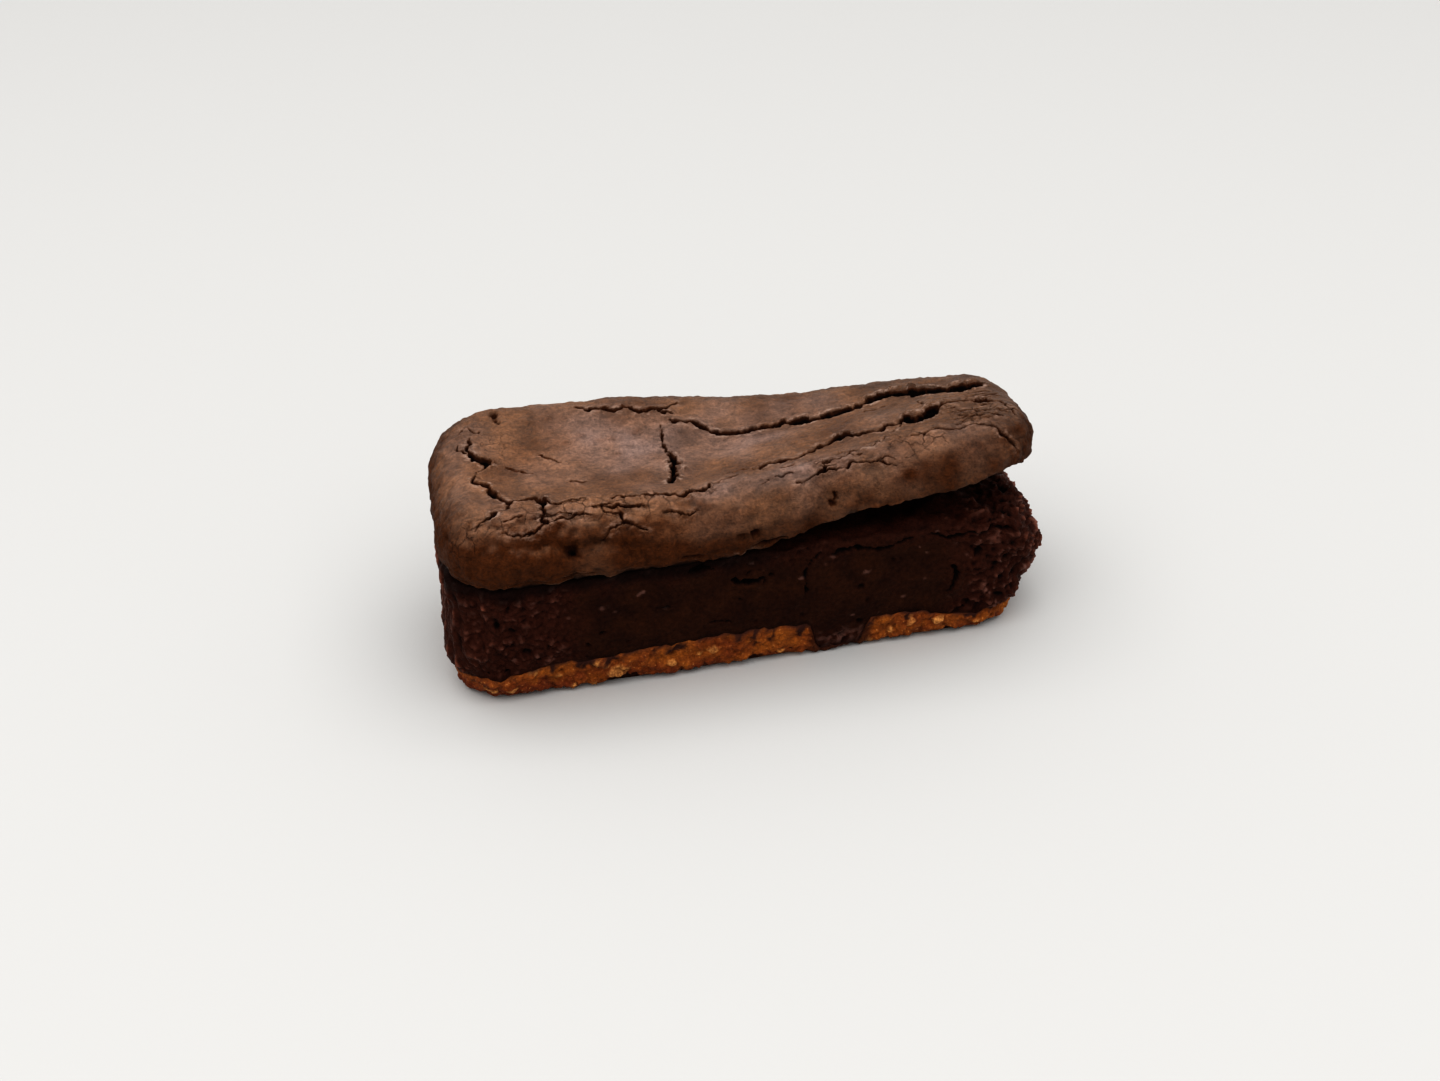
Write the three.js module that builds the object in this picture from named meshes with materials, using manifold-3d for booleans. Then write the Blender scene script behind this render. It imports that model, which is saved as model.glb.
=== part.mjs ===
// A chocolate brownie bar: dark, dense cocoa crumb baked on a biscuit base in a small bar tin. Its top
// has risen into a thick cap that rolls out over the sides, sags and cracks, has split from the crumb
// below along a seam, and stands up off it at one end.
// Millimetres, +Z up. X runs along the bar, the cap lifts towards +X, and the open front faces -Y.
import * as THREE from 'three';
import { mergeVertices } from 'three/addons/utils/BufferGeometryUtils.js';
import Module from 'manifold-3d';

const wasm = await Module();
wasm.setup();

// ---- Driving dimensions -------------------------------------------------------------------------

const GAP = 0.3;                  // clear space left along the seam and the biscuit joint

const SLAB = {                    // crumb and base together, the shape of the tin
  halfLength: 51.5,
  halfWidth: 20.6,
  height: 25,
  corner: 10.5,                   // plan radius of the corners
  draft: 2,                       // how far the long sides lean in towards the bottom
  leftBulge: 1.7,                 // crumb swelling out of the left end, lower down
  foot: 2,                        // rounding of the lower edge
  recess: 1.3,                    // how far the front leans in further, below its middle
  endBulge: 4.2,                  // crumb swelling out of the right end at half height
  endSlope: 2.2,                  // and falling back towards its top
};

const BASE = {                    // biscuit layer
  thickness: 6.9,
  leftEnd: 4.2,
  rightEnd: 3.2,
  wave: 0.9,
  front: [[-50, 4.7], [-43, 4.8], [-38, 6.3], [-26, 6.7], [-16, 7.8], [8, 7.5], [20, 6], [29, 6.2],
    [35, 4.5], [50, 3.1]],        // its height at places along the front
  runCentre: 16,                  // place along the front where crumb has run down through it
  runHalf: 4.2,
  runFloor: 1,
};

const CAP = {                     // risen top
  halfLength: 51.8,
  halfWidth: 23.4,
  corner: 13.5,
  crown: 7,                       // height of the crown above the widest line of the rim
  shoulder: 7.5,                  // how far in from the rim the crown has rounded off
  lip: 3.2,                       // the same under the rim
  lipDrop: 3.6,
  shoulderTurn: 58 * Math.PI / 180,
  lipTurn: 64 * Math.PI / 180,
  narrowing: 6,                   // width lost towards the right end, all of it at the back
  backRoll: 4.4,                  // how far the crown rolls down along the back at the right end
  cornerRoll: 1.2,                // and further at its far corner
  hinge: -8,                      // left of here the cap lies on the crumb
  lift: 8.4,                      // how far its front stands off at the right end
  liftPower: 1.3,
  lipRise: 2.7,                   // how much thinner its front is there, below the rim
  backRise: 1.6,                  // extra height along the back at the left
  shiftX: -0.5,
  shiftY: 0.3,
};

const SAGS = [                    // hollows in the crown: centre, half widths, depth
  { x: -12, y: 1, halfX: 30, halfY: 11, depth: 3 },
  { x: 22, y: 6, halfX: 26, halfY: 6, depth: 2.2 },
  { x: 8, y: -9, halfX: 34, halfY: 3.5, depth: 0.7 },
];

const LEAN = 3.4;                 // the left end is askew: its back corner lies this far to the right

// Cracks in the crown, each a run of places on its surface with its greatest width and its depth.
const CRACKS = [
  { width: 2.2, depth: 2.6, path: [[-7.5, 8.5], [-1, 4.6], [7, 3.2], [20, 3.1], [30, 4.5], [46, 0.5]] },
  { width: 1.7, depth: 3, path: [[-9.1, 8.6], [-9.2, 2], [-9.3, -5], [-11.9, -12.8]] },
  { width: 1.8, depth: 2.4, path: [[-11, -17.8], [-4, -15.4], [5, -13.3], [18.4, -10.7], [27, -10.2]] },
  { width: 3.6, depth: 3.2, path: [[25.5, -10.6], [31, -8.2], [36, -6.2], [41, -5.4], [45.5, -7]] },
  { width: 1.3, depth: 1.8, path: [[7, -20], [14, -18.3], [21, -16], [27, -11.4]] },
  { width: 1.7, depth: 2.2, path: [[-44, 7], [-40.4, 1.3], [-43.4, -4.4], [-39.4, -12.6], [-43.4, -16.6]] },
  { width: 1.2, depth: 1.6, path: [[-40, -12.4], [-34.4, -13.6], [-28, -14.6]] },
  { width: 1.1, depth: 1.6, path: [[-34.2, -13.2], [-34, -18.4], [-37.6, -20.6]] },
];

const CRACK_STEP = 2.6;           // spacing of the points along a crack
const RAGGED = 0.35;              // how far its edges wander, as a share of its width

const CRUMB = { end: 1.35, side: 0.35, cell: 3.6 };   // height and size of the crumbs on the torn faces
const PITS = { right: 9, left: 6, smallest: 1.1, largest: 2, reach: 15, lowest: 9, highest: 22 };
const BITES = [-22.5, 0.5];       // crumbs lost from the lower front edge of the biscuit
const BITE_RADIUS = 1.9;

const UNDERGROUND = -5;           // a level below everything

// ---- Small helpers ------------------------------------------------------------------------------

const clamp = THREE.MathUtils.clamp;
const smooth = (x, from, to) => THREE.MathUtils.smoothstep(x, from, to);
const bump = (x, centre, half) => Math.exp(-(((x - centre) / half) ** 2));

// A repeatable random number between 0 and 1 for a whole number.
function chance(n) {
  const s = Math.sin(n * 127.1 + 11.7) * 43758.5453;
  return s - Math.floor(s);
}

// Smooth repeatable noise in -1..1, with lumps about `cell` across.
function noise(x, y, z, cell, seed) {
  const p = [x / cell, y / cell, z / cell];
  const low = p.map(Math.floor);
  const t = p.map((value, k) => {
    const f = value - low[k];
    return f * f * (3 - 2 * f);
  });
  let sum = 0;
  for (let corner = 0; corner < 8; corner++) {
    const step = [corner & 1, (corner >> 1) & 1, (corner >> 2) & 1];
    const weight = step.reduce((w, s, k) => w * (s ? t[k] : 1 - t[k]), 1);
    const [i, j, k] = low.map((value, axis) => value + step[axis]);
    sum += weight * chance(i + 57 * j + 113 * k + 971 * seed);
  }
  return 2 * sum - 1;
}

// Carries a point of the unit square to a rectangle with round corners, without crowding the corners.
function roundedPlan(u, v, halfX, halfY, corner) {
  const x = u * halfX;
  const y = v * halfY;
  const dx = x - clamp(x, corner - halfX, halfX - corner);
  const dy = y - clamp(y, corner - halfY, halfY - corner);
  return [
    x - dx + dx * Math.sqrt(Math.max(0, 1 - dy * dy / (2 * corner * corner))),
    y - dy + dy * Math.sqrt(Math.max(0, 1 - dx * dx / (2 * corner * corner))),
  ];
}

// Distance of a point inside the outline of such a rectangle, negative outside it.
function depthInside(x, y, halfX, halfY, corner) {
  const qx = Math.abs(x) - (halfX - corner);
  const qy = Math.abs(y) - (halfY - corner);
  return corner - Math.hypot(Math.max(qx, 0), Math.max(qy, 0)) - Math.min(Math.max(qx, qy), 0);
}

// The left end of the whole bar is a little askew.
const lean = (x, y) => x + LEAN * ((y + 22) / 44) * smooth(-x, -10, 50);

// Height of a quarter round at depth d inside a rim of width r, as a share of its full height.
const roundOff = (d, r) => Math.sqrt(Math.max(0, 1 - (1 - clamp(d / r, 0, 1)) ** 2));

// Height at x along a list of places and heights, straight between them.
function levelAt(x, places) {
  const i = clamp(places.filter(([at]) => at < x).length, 1, places.length - 1);
  const [[x0, z0], [x1, z1]] = [places[i - 1], places[i]];
  return THREE.MathUtils.lerp(z0, z1, clamp((x - x0) / (x1 - x0), 0, 1));
}

// ---- Solids -------------------------------------------------------------------------------------

function toSolid(geometry) {
  const bare = geometry.clone();
  bare.deleteAttribute('normal');
  bare.deleteAttribute('uv');
  const merged = mergeVertices(bare, 1e-5);
  return new wasm.Manifold(new wasm.Mesh({
    numProp: 3,
    vertProperties: new Float32Array(merged.attributes.position.array),
    triVerts: new Uint32Array(merged.index.array),
  }));
}

function toGeometry(solid) {
  const { vertProperties, triVerts } = solid.getMesh();
  const geometry = new THREE.BufferGeometry();
  geometry.setAttribute('position', new THREE.BufferAttribute(new Float32Array(vertProperties), 3));
  geometry.setIndex(new THREE.BufferAttribute(new Uint32Array(triVerts), 1));
  geometry.computeVertexNormals();
  return geometry;
}

// A box whose every vertex is carried to a new place by `form`, given its place in -1..1.
function formedBox(nx, ny, nz, form) {
  const geometry = new THREE.BoxGeometry(2, 2, 2, nx, ny, nz);
  const position = geometry.attributes.position;
  for (let i = 0; i < position.count; i++) {
    position.setXYZ(i, ...form(position.getX(i), position.getY(i), position.getZ(i)));
  }
  return geometry;
}

// A block wider than the bar on every side, from under the ground up to a surface.
const SHEET = { halfX: 58, halfY: 28, cellsX: 30, cellsY: 12 };
function below(surface) {
  return toSolid(formedBox(SHEET.cellsX, SHEET.cellsY, 1, (u, v, w) => {
    const x = u * SHEET.halfX;
    const y = v * SHEET.halfY;
    return [x, y, w > 0 ? surface(x, y) : UNDERGROUND];
  }));
}

// Where a line from a point first meets the outside of a formed box.
const probe = new THREE.Raycaster();
function surfaceHit(mesh, from, direction) {
  probe.set(from, direction);
  return probe.intersectObject(mesh)[0]?.point;
}

// ---- Surfaces that part the layers --------------------------------------------------------------

// Top of the biscuit: wavy, thin at both ends, with one place where the crumb has run through it.
function baseTop(x, y) {
  const ends = (BASE.thickness - BASE.leftEnd) * smooth(-x, 40, 50)
    + (BASE.thickness - BASE.rightEnd) * smooth(x, 28, 48);
  const middle = BASE.thickness - ends + BASE.wave * noise(x, y, 0, 9, 4);
  const level = THREE.MathUtils.lerp(levelAt(x, BASE.front), middle, smooth(y, -13, -2));
  const run = 1 - smooth(Math.abs(x - BASE.runCentre), BASE.runHalf - 0.6, BASE.runHalf + 1.4);
  const front = 1 - smooth(y, -16, -9);
  return THREE.MathUtils.lerp(level, BASE.runFloor, run * front);
}

const jointTop = (x, y) => baseTop(x, y) + GAP;

// How far the top of the crumb is broken down along its edges.
function brokenEdge(x, y) {
  const inside = depthInside(x, y, SLAB.halfLength, SLAB.halfWidth, SLAB.corner);
  return 1.8 * clamp((2.5 - inside) / 5, 0, 1);
}

// Top of the crumb: torn and lumpy, lower along its edges and at the open right end.
function crumbTop(x, y) {
  const end = 2 * smooth(x, 42, 55);
  const torn = 0.35 + 0.75 * smooth(x, 5, 40);
  return SLAB.height - brokenEdge(x, y) - end + torn * noise(x, y, 0, 6, 9);
}

// How far the cap stands off the crumb.
function capLift(x, y) {
  const along = clamp((x - CAP.hinge) / (CAP.halfLength - CAP.hinge), 0, 1.1);
  const front = clamp((CAP.halfWidth - y) / (2 * CAP.halfWidth), 0, 1);
  return CAP.lift * along ** CAP.liftPower * front;
}

// Underside of the cap: torn like the crumb's top, and higher still along the lifted front.
function capUnder(x, y) {
  const front = clamp((CAP.halfWidth - y) / (2 * CAP.halfWidth), 0, 1);
  const thinner = (CAP.lipRise * front + brokenEdge(x, y)) * smooth(x, -12, 14);
  return crumbTop(x, y) + GAP + capLift(x, y) + thinner;
}

// ---- Crumb and biscuit --------------------------------------------------------------------------

function slabPoint(u, v, w) {
  const z = THREE.MathUtils.lerp(-1, SLAB.height + 3, (w + 1) / 2);
  const up = clamp(z / SLAB.height, 0, 1);
  const foot = 0.8 * SLAB.foot * (1 - roundOff(Math.max(z, 0), SLAB.foot));
  const inset = SLAB.draft * (1 - up) + foot;
  const corner = SLAB.corner - 0.6 * inset;
  const close = 1.25 * u - 0.25 * u ** 3;   // the grid is closer near the torn ends
  let [x, y] = roundedPlan(close, v, SLAB.halfLength - inset, SLAB.halfWidth - inset, corner);
  const right = clamp((x - 20) / 30, 0, 1);
  const left = clamp(-x / 30, 0, 1);
  x -= left * SLAB.leftBulge * bump(z, 9, 9);
  x += right * (SLAB.endBulge * bump(z, 13, 8) - SLAB.endSlope * smooth(z, 15, 25));
  const torn = THREE.MathUtils.lerp(CRUMB.side, CRUMB.end, smooth(Math.abs(x), 30, 46));
  const high = smooth(z, 0.5, 4);
  x += torn * high * noise(x, y, z, CRUMB.cell, 1);
  y += torn * high * noise(x, y, z, CRUMB.cell, 2);
  const recess = SLAB.recess * (1 + 0.6 * smooth(-x, 12, 42) - 0.3 * smooth(x, 20, 40));
  y += recess * smooth(-y, 8, 18) * (1 - smooth(z, 0, 14));
  return [lean(x, y), y, z];
}

const slabForm = formedBox(42, 16, 9, slabPoint);
const slabMesh = new THREE.Mesh(slabForm);
const slab = toSolid(slabForm);

// Hollows left by crumbs that have come away from the end of the bar that lies towards `end`, -1 or 1.
function pits(count, end, seed) {
  const inwards = new THREE.Vector3(-end, 0, 0);
  const hollows = [];
  for (let i = 0; i < count; i++) {
    const radius = THREE.MathUtils.lerp(PITS.smallest, PITS.largest, chance(seed + i));
    const y = THREE.MathUtils.lerp(-PITS.reach, PITS.reach, chance(seed + 40 + i));
    const z = THREE.MathUtils.lerp(PITS.lowest, PITS.highest, chance(seed + 80 + i));
    const mouth = surfaceHit(slabMesh, new THREE.Vector3(100 * end, y, z), inwards);
    hollows.push(new THREE.OctahedronGeometry(radius, 1).scale(1, 1.3, 0.8).translate(...mouth));
  }
  return hollows;
}

function cutAll(solid, geometries) {
  return geometries.reduce((rest, geometry) => rest.subtract(toSolid(geometry)), solid);
}

function makeCrumb() {
  const crumb = slab.intersect(below(crumbTop)).subtract(below(jointTop));
  return cutAll(crumb, [...pits(PITS.right, 1, 200), ...pits(PITS.left, -1, 500)]);
}

function makeBase() {
  const ground = toSolid(new THREE.BoxGeometry(200, 200, 10).translate(0, 0, -5));
  const base = slab.intersect(below(baseTop)).subtract(ground);
  const front = SLAB.draft - SLAB.halfWidth + SLAB.recess + 0.4;
  const bites = BITES.map((x) => new THREE.OctahedronGeometry(BITE_RADIUS, 1).scale(1.1, 0.8, 0.8)
    .translate(x, front, 0.4));
  return cutAll(base, bites);
}

// ---- Cap ----------------------------------------------------------------------------------------

// The cap's outline narrows, leans and shifts, and its right end turns towards the back.
function placeOnBar(x, y) {
  const along = (x + CAP.halfLength) / (2 * CAP.halfLength);
  const narrow = 1 - CAP.narrowing / (2 * CAP.halfWidth) * along;
  const py = (y + CAP.shiftY + CAP.halfWidth) * narrow - CAP.halfWidth;
  const px = x + (0.8 + 0.08 * py) * smooth(x, 15, 50);
  return [lean(px, py) + CAP.shiftX, py];
}

// Relief of the crown: sags, the dip along the back edge, and the wrinkles of the skin.
function crownRelief(x, y, inside) {
  const sag = SAGS.reduce((sum, s) => sum + s.depth * bump(x, s.x, s.halfX) * bump(y, s.y, s.halfY), 0);
  const skin = 0.35 * noise(x, y, 0, 9, 6) + 0.25 * noise(x, y, 0, 4.5, 7);
  return (skin - sag) * smooth(inside, 0.5 * CAP.shoulder, 1.6 * CAP.shoulder);
}

function capPoint(u, v, w) {
  const turn = w > 0 ? w * CAP.shoulderTurn : w * CAP.lipTurn;
  const reach = w > 0 ? CAP.shoulder : CAP.lip;
  const tall = w > 0 ? CAP.crown : CAP.lipDrop;
  const inset = reach * (1 - Math.cos(turn));
  const [px, py] = roundedPlan(u, v, CAP.halfLength - inset, CAP.halfWidth - inset, CAP.corner - inset);
  const inside = depthInside(px, py, CAP.halfLength, CAP.halfWidth, CAP.corner);
  let z = Math.abs(w) > 0.999 ? Math.sign(w) * tall * roundOff(inside, reach) : tall * Math.sin(turn);
  if (w > 0.999) z += crownRelief(px, py, inside);
  let [x, y] = placeOnBar(px, py);
  const lift = capLift(px, y);
  const back = clamp((y + CAP.halfWidth) / (2 * CAP.halfWidth), 0, 1);
  z += SLAB.height + GAP + CAP.lipDrop + lift + CAP.backRise * back * (1 - lift / CAP.lift);
  z -= CAP.backRoll * smooth(px, -20, 24) * smooth(y, 3, 20);
  z -= CAP.cornerRoll * smooth(px, 30, 50) * smooth(y, -4, 10);
  if (w < 0) z -= 0.8;
  x += 0.5 * noise(x, y, z, 11, 12);
  y += 0.5 * noise(x, y, z, 11, 13);
  return [x, y, z];
}

const pillow = formedBox(46, 20, 6, capPoint);

// Height of the crown above a place in plan.
const pillowMesh = new THREE.Mesh(pillow);
const DOWN = new THREE.Vector3(0, 0, -1);
const crownHeight = (x, y) => surfaceHit(pillowMesh, new THREE.Vector3(x, y, 60), DOWN).z;

// A wedge that follows a crack: three points at each step, two above the crown and one at its root.
function crackWedge({ width, depth, path }, seed) {
  const curve = new THREE.CatmullRomCurve3(path.map(([x, y]) => new THREE.Vector3(x, y, 0)));
  const steps = Math.ceil(curve.getLength() / CRACK_STEP);
  const above = 1.5;
  const points = [];
  for (let i = 0; i <= steps; i++) {
    const t = i / steps;
    const centre = curve.getPointAt(t);
    const along = curve.getTangentAt(t);
    const across = new THREE.Vector3(-along.y, along.x, 0);
    const opening = Math.sin(Math.PI * clamp(t, 0.04, 0.96)) ** 0.6;
    const height = crownHeight(centre.x, centre.y);
    const spread = (depth + above) / depth;
    const half = [0, 1].map((side) => {
      const wander = RAGGED * (2 * chance(seed + 2 * i + side) - 1);
      return 0.5 * width * opening * (1 + wander);
    });
    const left = centre.clone().addScaledVector(across, half[0] * spread);
    const right = centre.clone().addScaledVector(across, -half[1] * spread);
    const root = centre.clone().addScaledVector(across, (half[0] - half[1]) * 0.3);
    points.push([left.x, left.y, height + above]);
    points.push([root.x, root.y, height - depth * opening]);
    points.push([right.x, right.y, height + above]);
  }
  const faces = [0, 1, 2];
  for (let i = 0; i < steps; i++) {
    for (let k = 0; k < 3; k++) {
      const a = 3 * i + k;
      const b = 3 * i + (k + 1) % 3;
      faces.push(a, a + 3, b, b, a + 3, b + 3);
    }
  }
  faces.push(3 * steps + 2, 3 * steps + 1, 3 * steps);
  const geometry = new THREE.BufferGeometry();
  geometry.setAttribute('position', new THREE.Float32BufferAttribute(points.flat(), 3));
  geometry.setIndex(faces);
  return geometry;
}

function makeCap() {
  const cap = toSolid(pillow).subtract(below(capUnder));
  return CRACKS.reduce((rest, crack, i) => rest.subtract(toSolid(crackWedge(crack, 1000 + 100 * i))), cap);
}

// ---- The bar ------------------------------------------------------------------------------------

function layer(name, solid, color, roughness) {
  const mesh = new THREE.Mesh(toGeometry(solid), new THREE.MeshStandardMaterial({ color, roughness }));
  mesh.name = name;
  return mesh;
}

const brownie = new THREE.Group();
brownie.add(
  layer('biscuit_base', makeBase(), 0xb77a38, 0.85),
  layer('brownie_crumb', makeCrumb(), 0x2f1b13, 0.7),
  layer('risen_cap', makeCap(), 0x7b4d31, 0.65),
);

// The origin is under the middle of the bar, where it stands.
const middle = new THREE.Box3().setFromObject(brownie).getCenter(new THREE.Vector3());
for (const mesh of brownie.children) mesh.position.set(-middle.x, -middle.y, 0);

export default brownie;
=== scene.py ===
# %% [markdown]
# # A chocolate brownie bar
#
# The bar was baked in a small tin with round corners and leaning sides. It has three pieces: a biscuit
# base pressed into the tin, a dense dark crumb poured over it, and a risen cap. The cap puffed up over
# the rim, sagged and cracked as it cooled, then split from the crumb along a seam and lifted at one end.
#
# Each piece is modelled the same way. A cube is cut into an even grid, the grid is made finer where
# detail shows, and every vertex is carried to its place by a few functions of named sizes. After that
# the surface gets its relief, in millimetres, along its own normals. A sculpt by hand would look as
# good, but functions can be read, changed and run again.

# %% Load the frame
import math
from functools import partial
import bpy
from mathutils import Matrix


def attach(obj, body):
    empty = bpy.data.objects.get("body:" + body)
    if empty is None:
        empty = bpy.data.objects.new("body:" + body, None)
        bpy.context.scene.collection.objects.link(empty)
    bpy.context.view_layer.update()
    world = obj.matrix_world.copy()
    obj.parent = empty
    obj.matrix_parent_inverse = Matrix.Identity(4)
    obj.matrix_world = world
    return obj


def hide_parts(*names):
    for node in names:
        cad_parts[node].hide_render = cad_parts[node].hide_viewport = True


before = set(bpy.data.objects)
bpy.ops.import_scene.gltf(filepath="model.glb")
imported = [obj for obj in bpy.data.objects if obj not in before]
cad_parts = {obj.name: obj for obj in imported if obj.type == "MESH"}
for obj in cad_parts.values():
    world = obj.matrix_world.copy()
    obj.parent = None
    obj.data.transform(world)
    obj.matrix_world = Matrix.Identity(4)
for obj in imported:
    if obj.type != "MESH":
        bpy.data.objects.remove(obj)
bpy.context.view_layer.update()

from types import SimpleNamespace as Sizes

import bmesh
import bpy
import numpy as np
from mathutils import Matrix, Vector
from mathutils.bvhtree import BVHTree

MM = 0.001
print("nodes in the frame:", sorted(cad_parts))

# %% [markdown]
# ## Sizes
#
# These are the sizes of the real thing, in millimetres: the tin gives the slab its plan, its draft and
# its rounded foot, and the cap is wider than the tin because it rolled out over the rim. The middle of
# the slab is not quite the middle of the whole bar, so `MIDDLE` shifts the slab's own frame to the
# bar's.

# %% Sizes of the slab, the base and the cap
GAP, SEAM = 0.3, 0.05                        # under the cap, and under the crumb
LEAN, LEAN_FROM, LEAN_OVER = 3.4, -22, 44    # shift of the left end, from which y on, over what width
MIDDLE = np.array([2.03, -0.32, 0.0])

SLAB = Sizes(half_length=51.5, half_width=20.6, height=25.0, corner=10.5, draft=2.0, foot=2.0,
             left_bulge=1.7, end_bulge=4.2, end_slope=2.2, recess=1.3)
BASE = Sizes(thickness=6.9, left_end=4.2, right_end=3.2, wave=0.9,
             front_at=[-50, -43, -38, -26, -16, 8, 20, 29, 35, 50],
             front_level=[4.7, 4.8, 6.3, 6.7, 7.8, 7.5, 6.0, 6.2, 4.5, 3.1],
             run_centre=16.0, run_half=4.2, run_floor=1.0)
CAP = Sizes(half_length=51.8, half_width=23.4, corner=13.5, crown=7.0, shoulder=7.5, lip=3.2,
            lip_drop=3.6, shoulder_turn=math.radians(58), lip_turn=math.radians(64), narrowing=6.0,
            back_roll=4.4, corner_roll=1.2, hinge=-8.0, lift=8.4, lift_power=1.3, lip_rise=2.7,
            back_rise=1.6, rim_drop=0.8, shift_x=-0.5, shift_y=0.3)
# sags of the crown, as soft_patches takes them: (depth, x, half length, y, half width)
SAGS = [(3.0, -12, 30, 1, 11), (2.2, 22, 26, 6, 6), (0.7, 8, 34, -9, 3.5)]
TORN = Sizes(end=1.35, side=0.35, cell=3.6)
print("slab", 2 * SLAB.half_length, "x", 2 * SLAB.half_width, "x", SLAB.height, "mm")

# %% [markdown]
# ## Noise
#
# Baked things are uneven at every size, so the script needs random fields that are the same on every
# run. `lumps` is value noise: a random height at each corner of a lattice, blended smoothly between
# them. `grains` finds the nearest of a set of scattered centres, which gives crumbs. `hollows` gives
# round pits left by bubbles. The last number given to each is a seed, which picks another field of the
# same kind. Blender has noise of its own in mathutils, but it works on one point at a time, and these
# work on a whole mesh at once.

# %% Small curves
def smooth(x, start, end):
    """Rises softly from 0 at start to 1 at end."""
    t = np.clip((x - start) / (end - start), 0, 1)
    return t * t * (3 - 2 * t)


def bump(x, centre, half):
    return np.exp(-((x - centre) / half) ** 2)


def soft_patches(table, x, y):
    """The sum of soft round patches, each (strength, x, half length, y, half width)."""
    return sum(strength * bump(x, middle_x, half_x) * bump(y, middle_y, half_y)
               for strength, middle_x, half_x, middle_y, half_y in table)


def blend(a, b, t):
    return a + (b - a) * t


def round_off(d, reach):
    """A quarter round: 0 at the rim, 1 once d has reached `reach`."""
    return np.sqrt(np.maximum(0, 1 - (1 - np.clip(d / reach, 0, 1)) ** 2))


# %% Random fields
LATTICE = np.array([1.0, 57.0, 113.0])


def chance(n):
    """A repeatable random number in 0..1 for each whole number n."""
    s = np.sin(n * 127.1 + 11.7) * 43758.5453
    return s - np.floor(s)


def lumps(x, y, z, cell, seed):
    """Smooth noise in -1..1 with lumps about `cell` millimetres across."""
    p = np.stack(np.broadcast_arrays(x, y, z), -1) / cell
    low = np.floor(p)
    t = (p - low) ** 2 * (3 - 2 * (p - low))
    total = 0
    for corner in range(8):
        step = np.array([corner & 1, (corner >> 1) & 1, (corner >> 2) & 1])
        weight = np.prod(np.where(step == 1, t, 1 - t), -1)
        total = total + weight * chance((low + step) @ LATTICE + 971 * seed)
    return 2 * total - 1


NEIGHBOURS = [np.array([i, j, k]) for i in (-1, 0, 1) for j in (-1, 0, 1) for k in (-1, 0, 1)]


def scatter(p, seed):
    """For points in cell units, yields each nearby centre's distance and its own random number."""
    low = np.floor(p)
    for step in NEIGHBOURS:
        home = low + step
        number = home @ LATTICE + 971 * seed
        centre = home + np.stack([chance(number + 1000 * k) for k in (1, 2, 3)], -1)
        yield np.linalg.norm(p - centre, axis=-1), chance(number + 4000)


def grains(points, cell, seed):
    """Distance to the nearest of scattered centres, in millimetres, and that centre's number."""
    nearest = np.full(len(points), 9.0)
    number = np.zeros(len(points))
    for distance, own in scatter(points / cell, seed):
        closer = distance < nearest
        nearest = np.where(closer, distance, nearest)
        number = np.where(closer, own, number)
    return nearest * cell, number


def hollows(points, cell, share, smallest, largest, seed):
    """Depth of round pits, of radius smallest to largest, at a share of the scattered centres."""
    depth = np.zeros(len(points))
    for distance, own in scatter(points / cell, seed):
        radius = np.where(own < share, blend(smallest, largest, own / share), 0)
        depth = np.maximum(depth, np.sqrt(np.maximum(0, radius ** 2 - (distance * cell) ** 2)))
    return depth


print("a sample of the noise:", np.round(lumps(np.arange(4.0), 0.0, 0.0, 2.5, 1), 3))

# %% [markdown]
# ## Form functions
#
# A tin makes a rounded rectangle. `rounded_plan` carries a unit square to one without crowding the
# grid lines in the corners, and `depth_inside` tells how far a point is from the edge. The left end of
# this bar is a little askew, which `lean` adds to everything, so that the pieces stay in step.

# %% Plan of the tin
def rounded_plan(u, v, half_x, half_y, corner):
    x, y = u * half_x, v * half_y
    dx = x - np.clip(x, corner - half_x, half_x - corner)
    dy = y - np.clip(y, corner - half_y, half_y - corner)
    return (x - dx + dx * np.sqrt(np.maximum(0, 1 - dy ** 2 / (2 * corner ** 2))),
            y - dy + dy * np.sqrt(np.maximum(0, 1 - dx ** 2 / (2 * corner ** 2))))


def depth_inside(x, y, half_x, half_y, corner):
    qx, qy = np.abs(x) - (half_x - corner), np.abs(y) - (half_y - corner)
    outside = np.hypot(np.maximum(qx, 0), np.maximum(qy, 0))
    return corner - outside - np.minimum(np.maximum(qx, qy), 0)


def lean(x, y):
    return x + LEAN * ((y - LEAN_FROM) / LEAN_OVER) * smooth(-x, -10, 50)


# %% Surfaces that part the layers
def base_top(x, y):
    """Top of the biscuit: wavy, thin at the ends, and low where crumb has run down through it."""
    ends = (BASE.thickness - BASE.left_end) * smooth(-x, 38, 45)
    ends = ends + (BASE.thickness - BASE.right_end) * smooth(x, 28, 48)
    level = BASE.thickness - ends + BASE.wave * lumps(x, y, 0, 9, 4)
    front = np.interp(x, BASE.front_at, BASE.front_level) + 0.4 * lumps(x, y, 0, 5, 4)
    level = blend(front, level, smooth(y, -13, -2))
    away = np.abs(x - BASE.run_centre)
    away = away + 0.6 * lumps(x, y, 0, 2.2, 5)
    run = 1 - smooth(away, BASE.run_half - 0.6, BASE.run_half + 1.4)
    level = blend(level, BASE.run_floor, run * (1 - smooth(y, -16, -9)))
    ragged = 0.4 * lumps(x, y, 0, 2.4, 14) + 0.45 * lumps(x, y, 0, 0.9, 15)
    return np.maximum(level + ragged, 0.7)


def broken_edge(x, y):
    """How far the top of the crumb is broken down along its edges."""
    inside = depth_inside(x, y, SLAB.half_length, SLAB.half_width, SLAB.corner)
    return 1.8 * np.clip((2.5 - inside) / 5, 0, 1)


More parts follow.
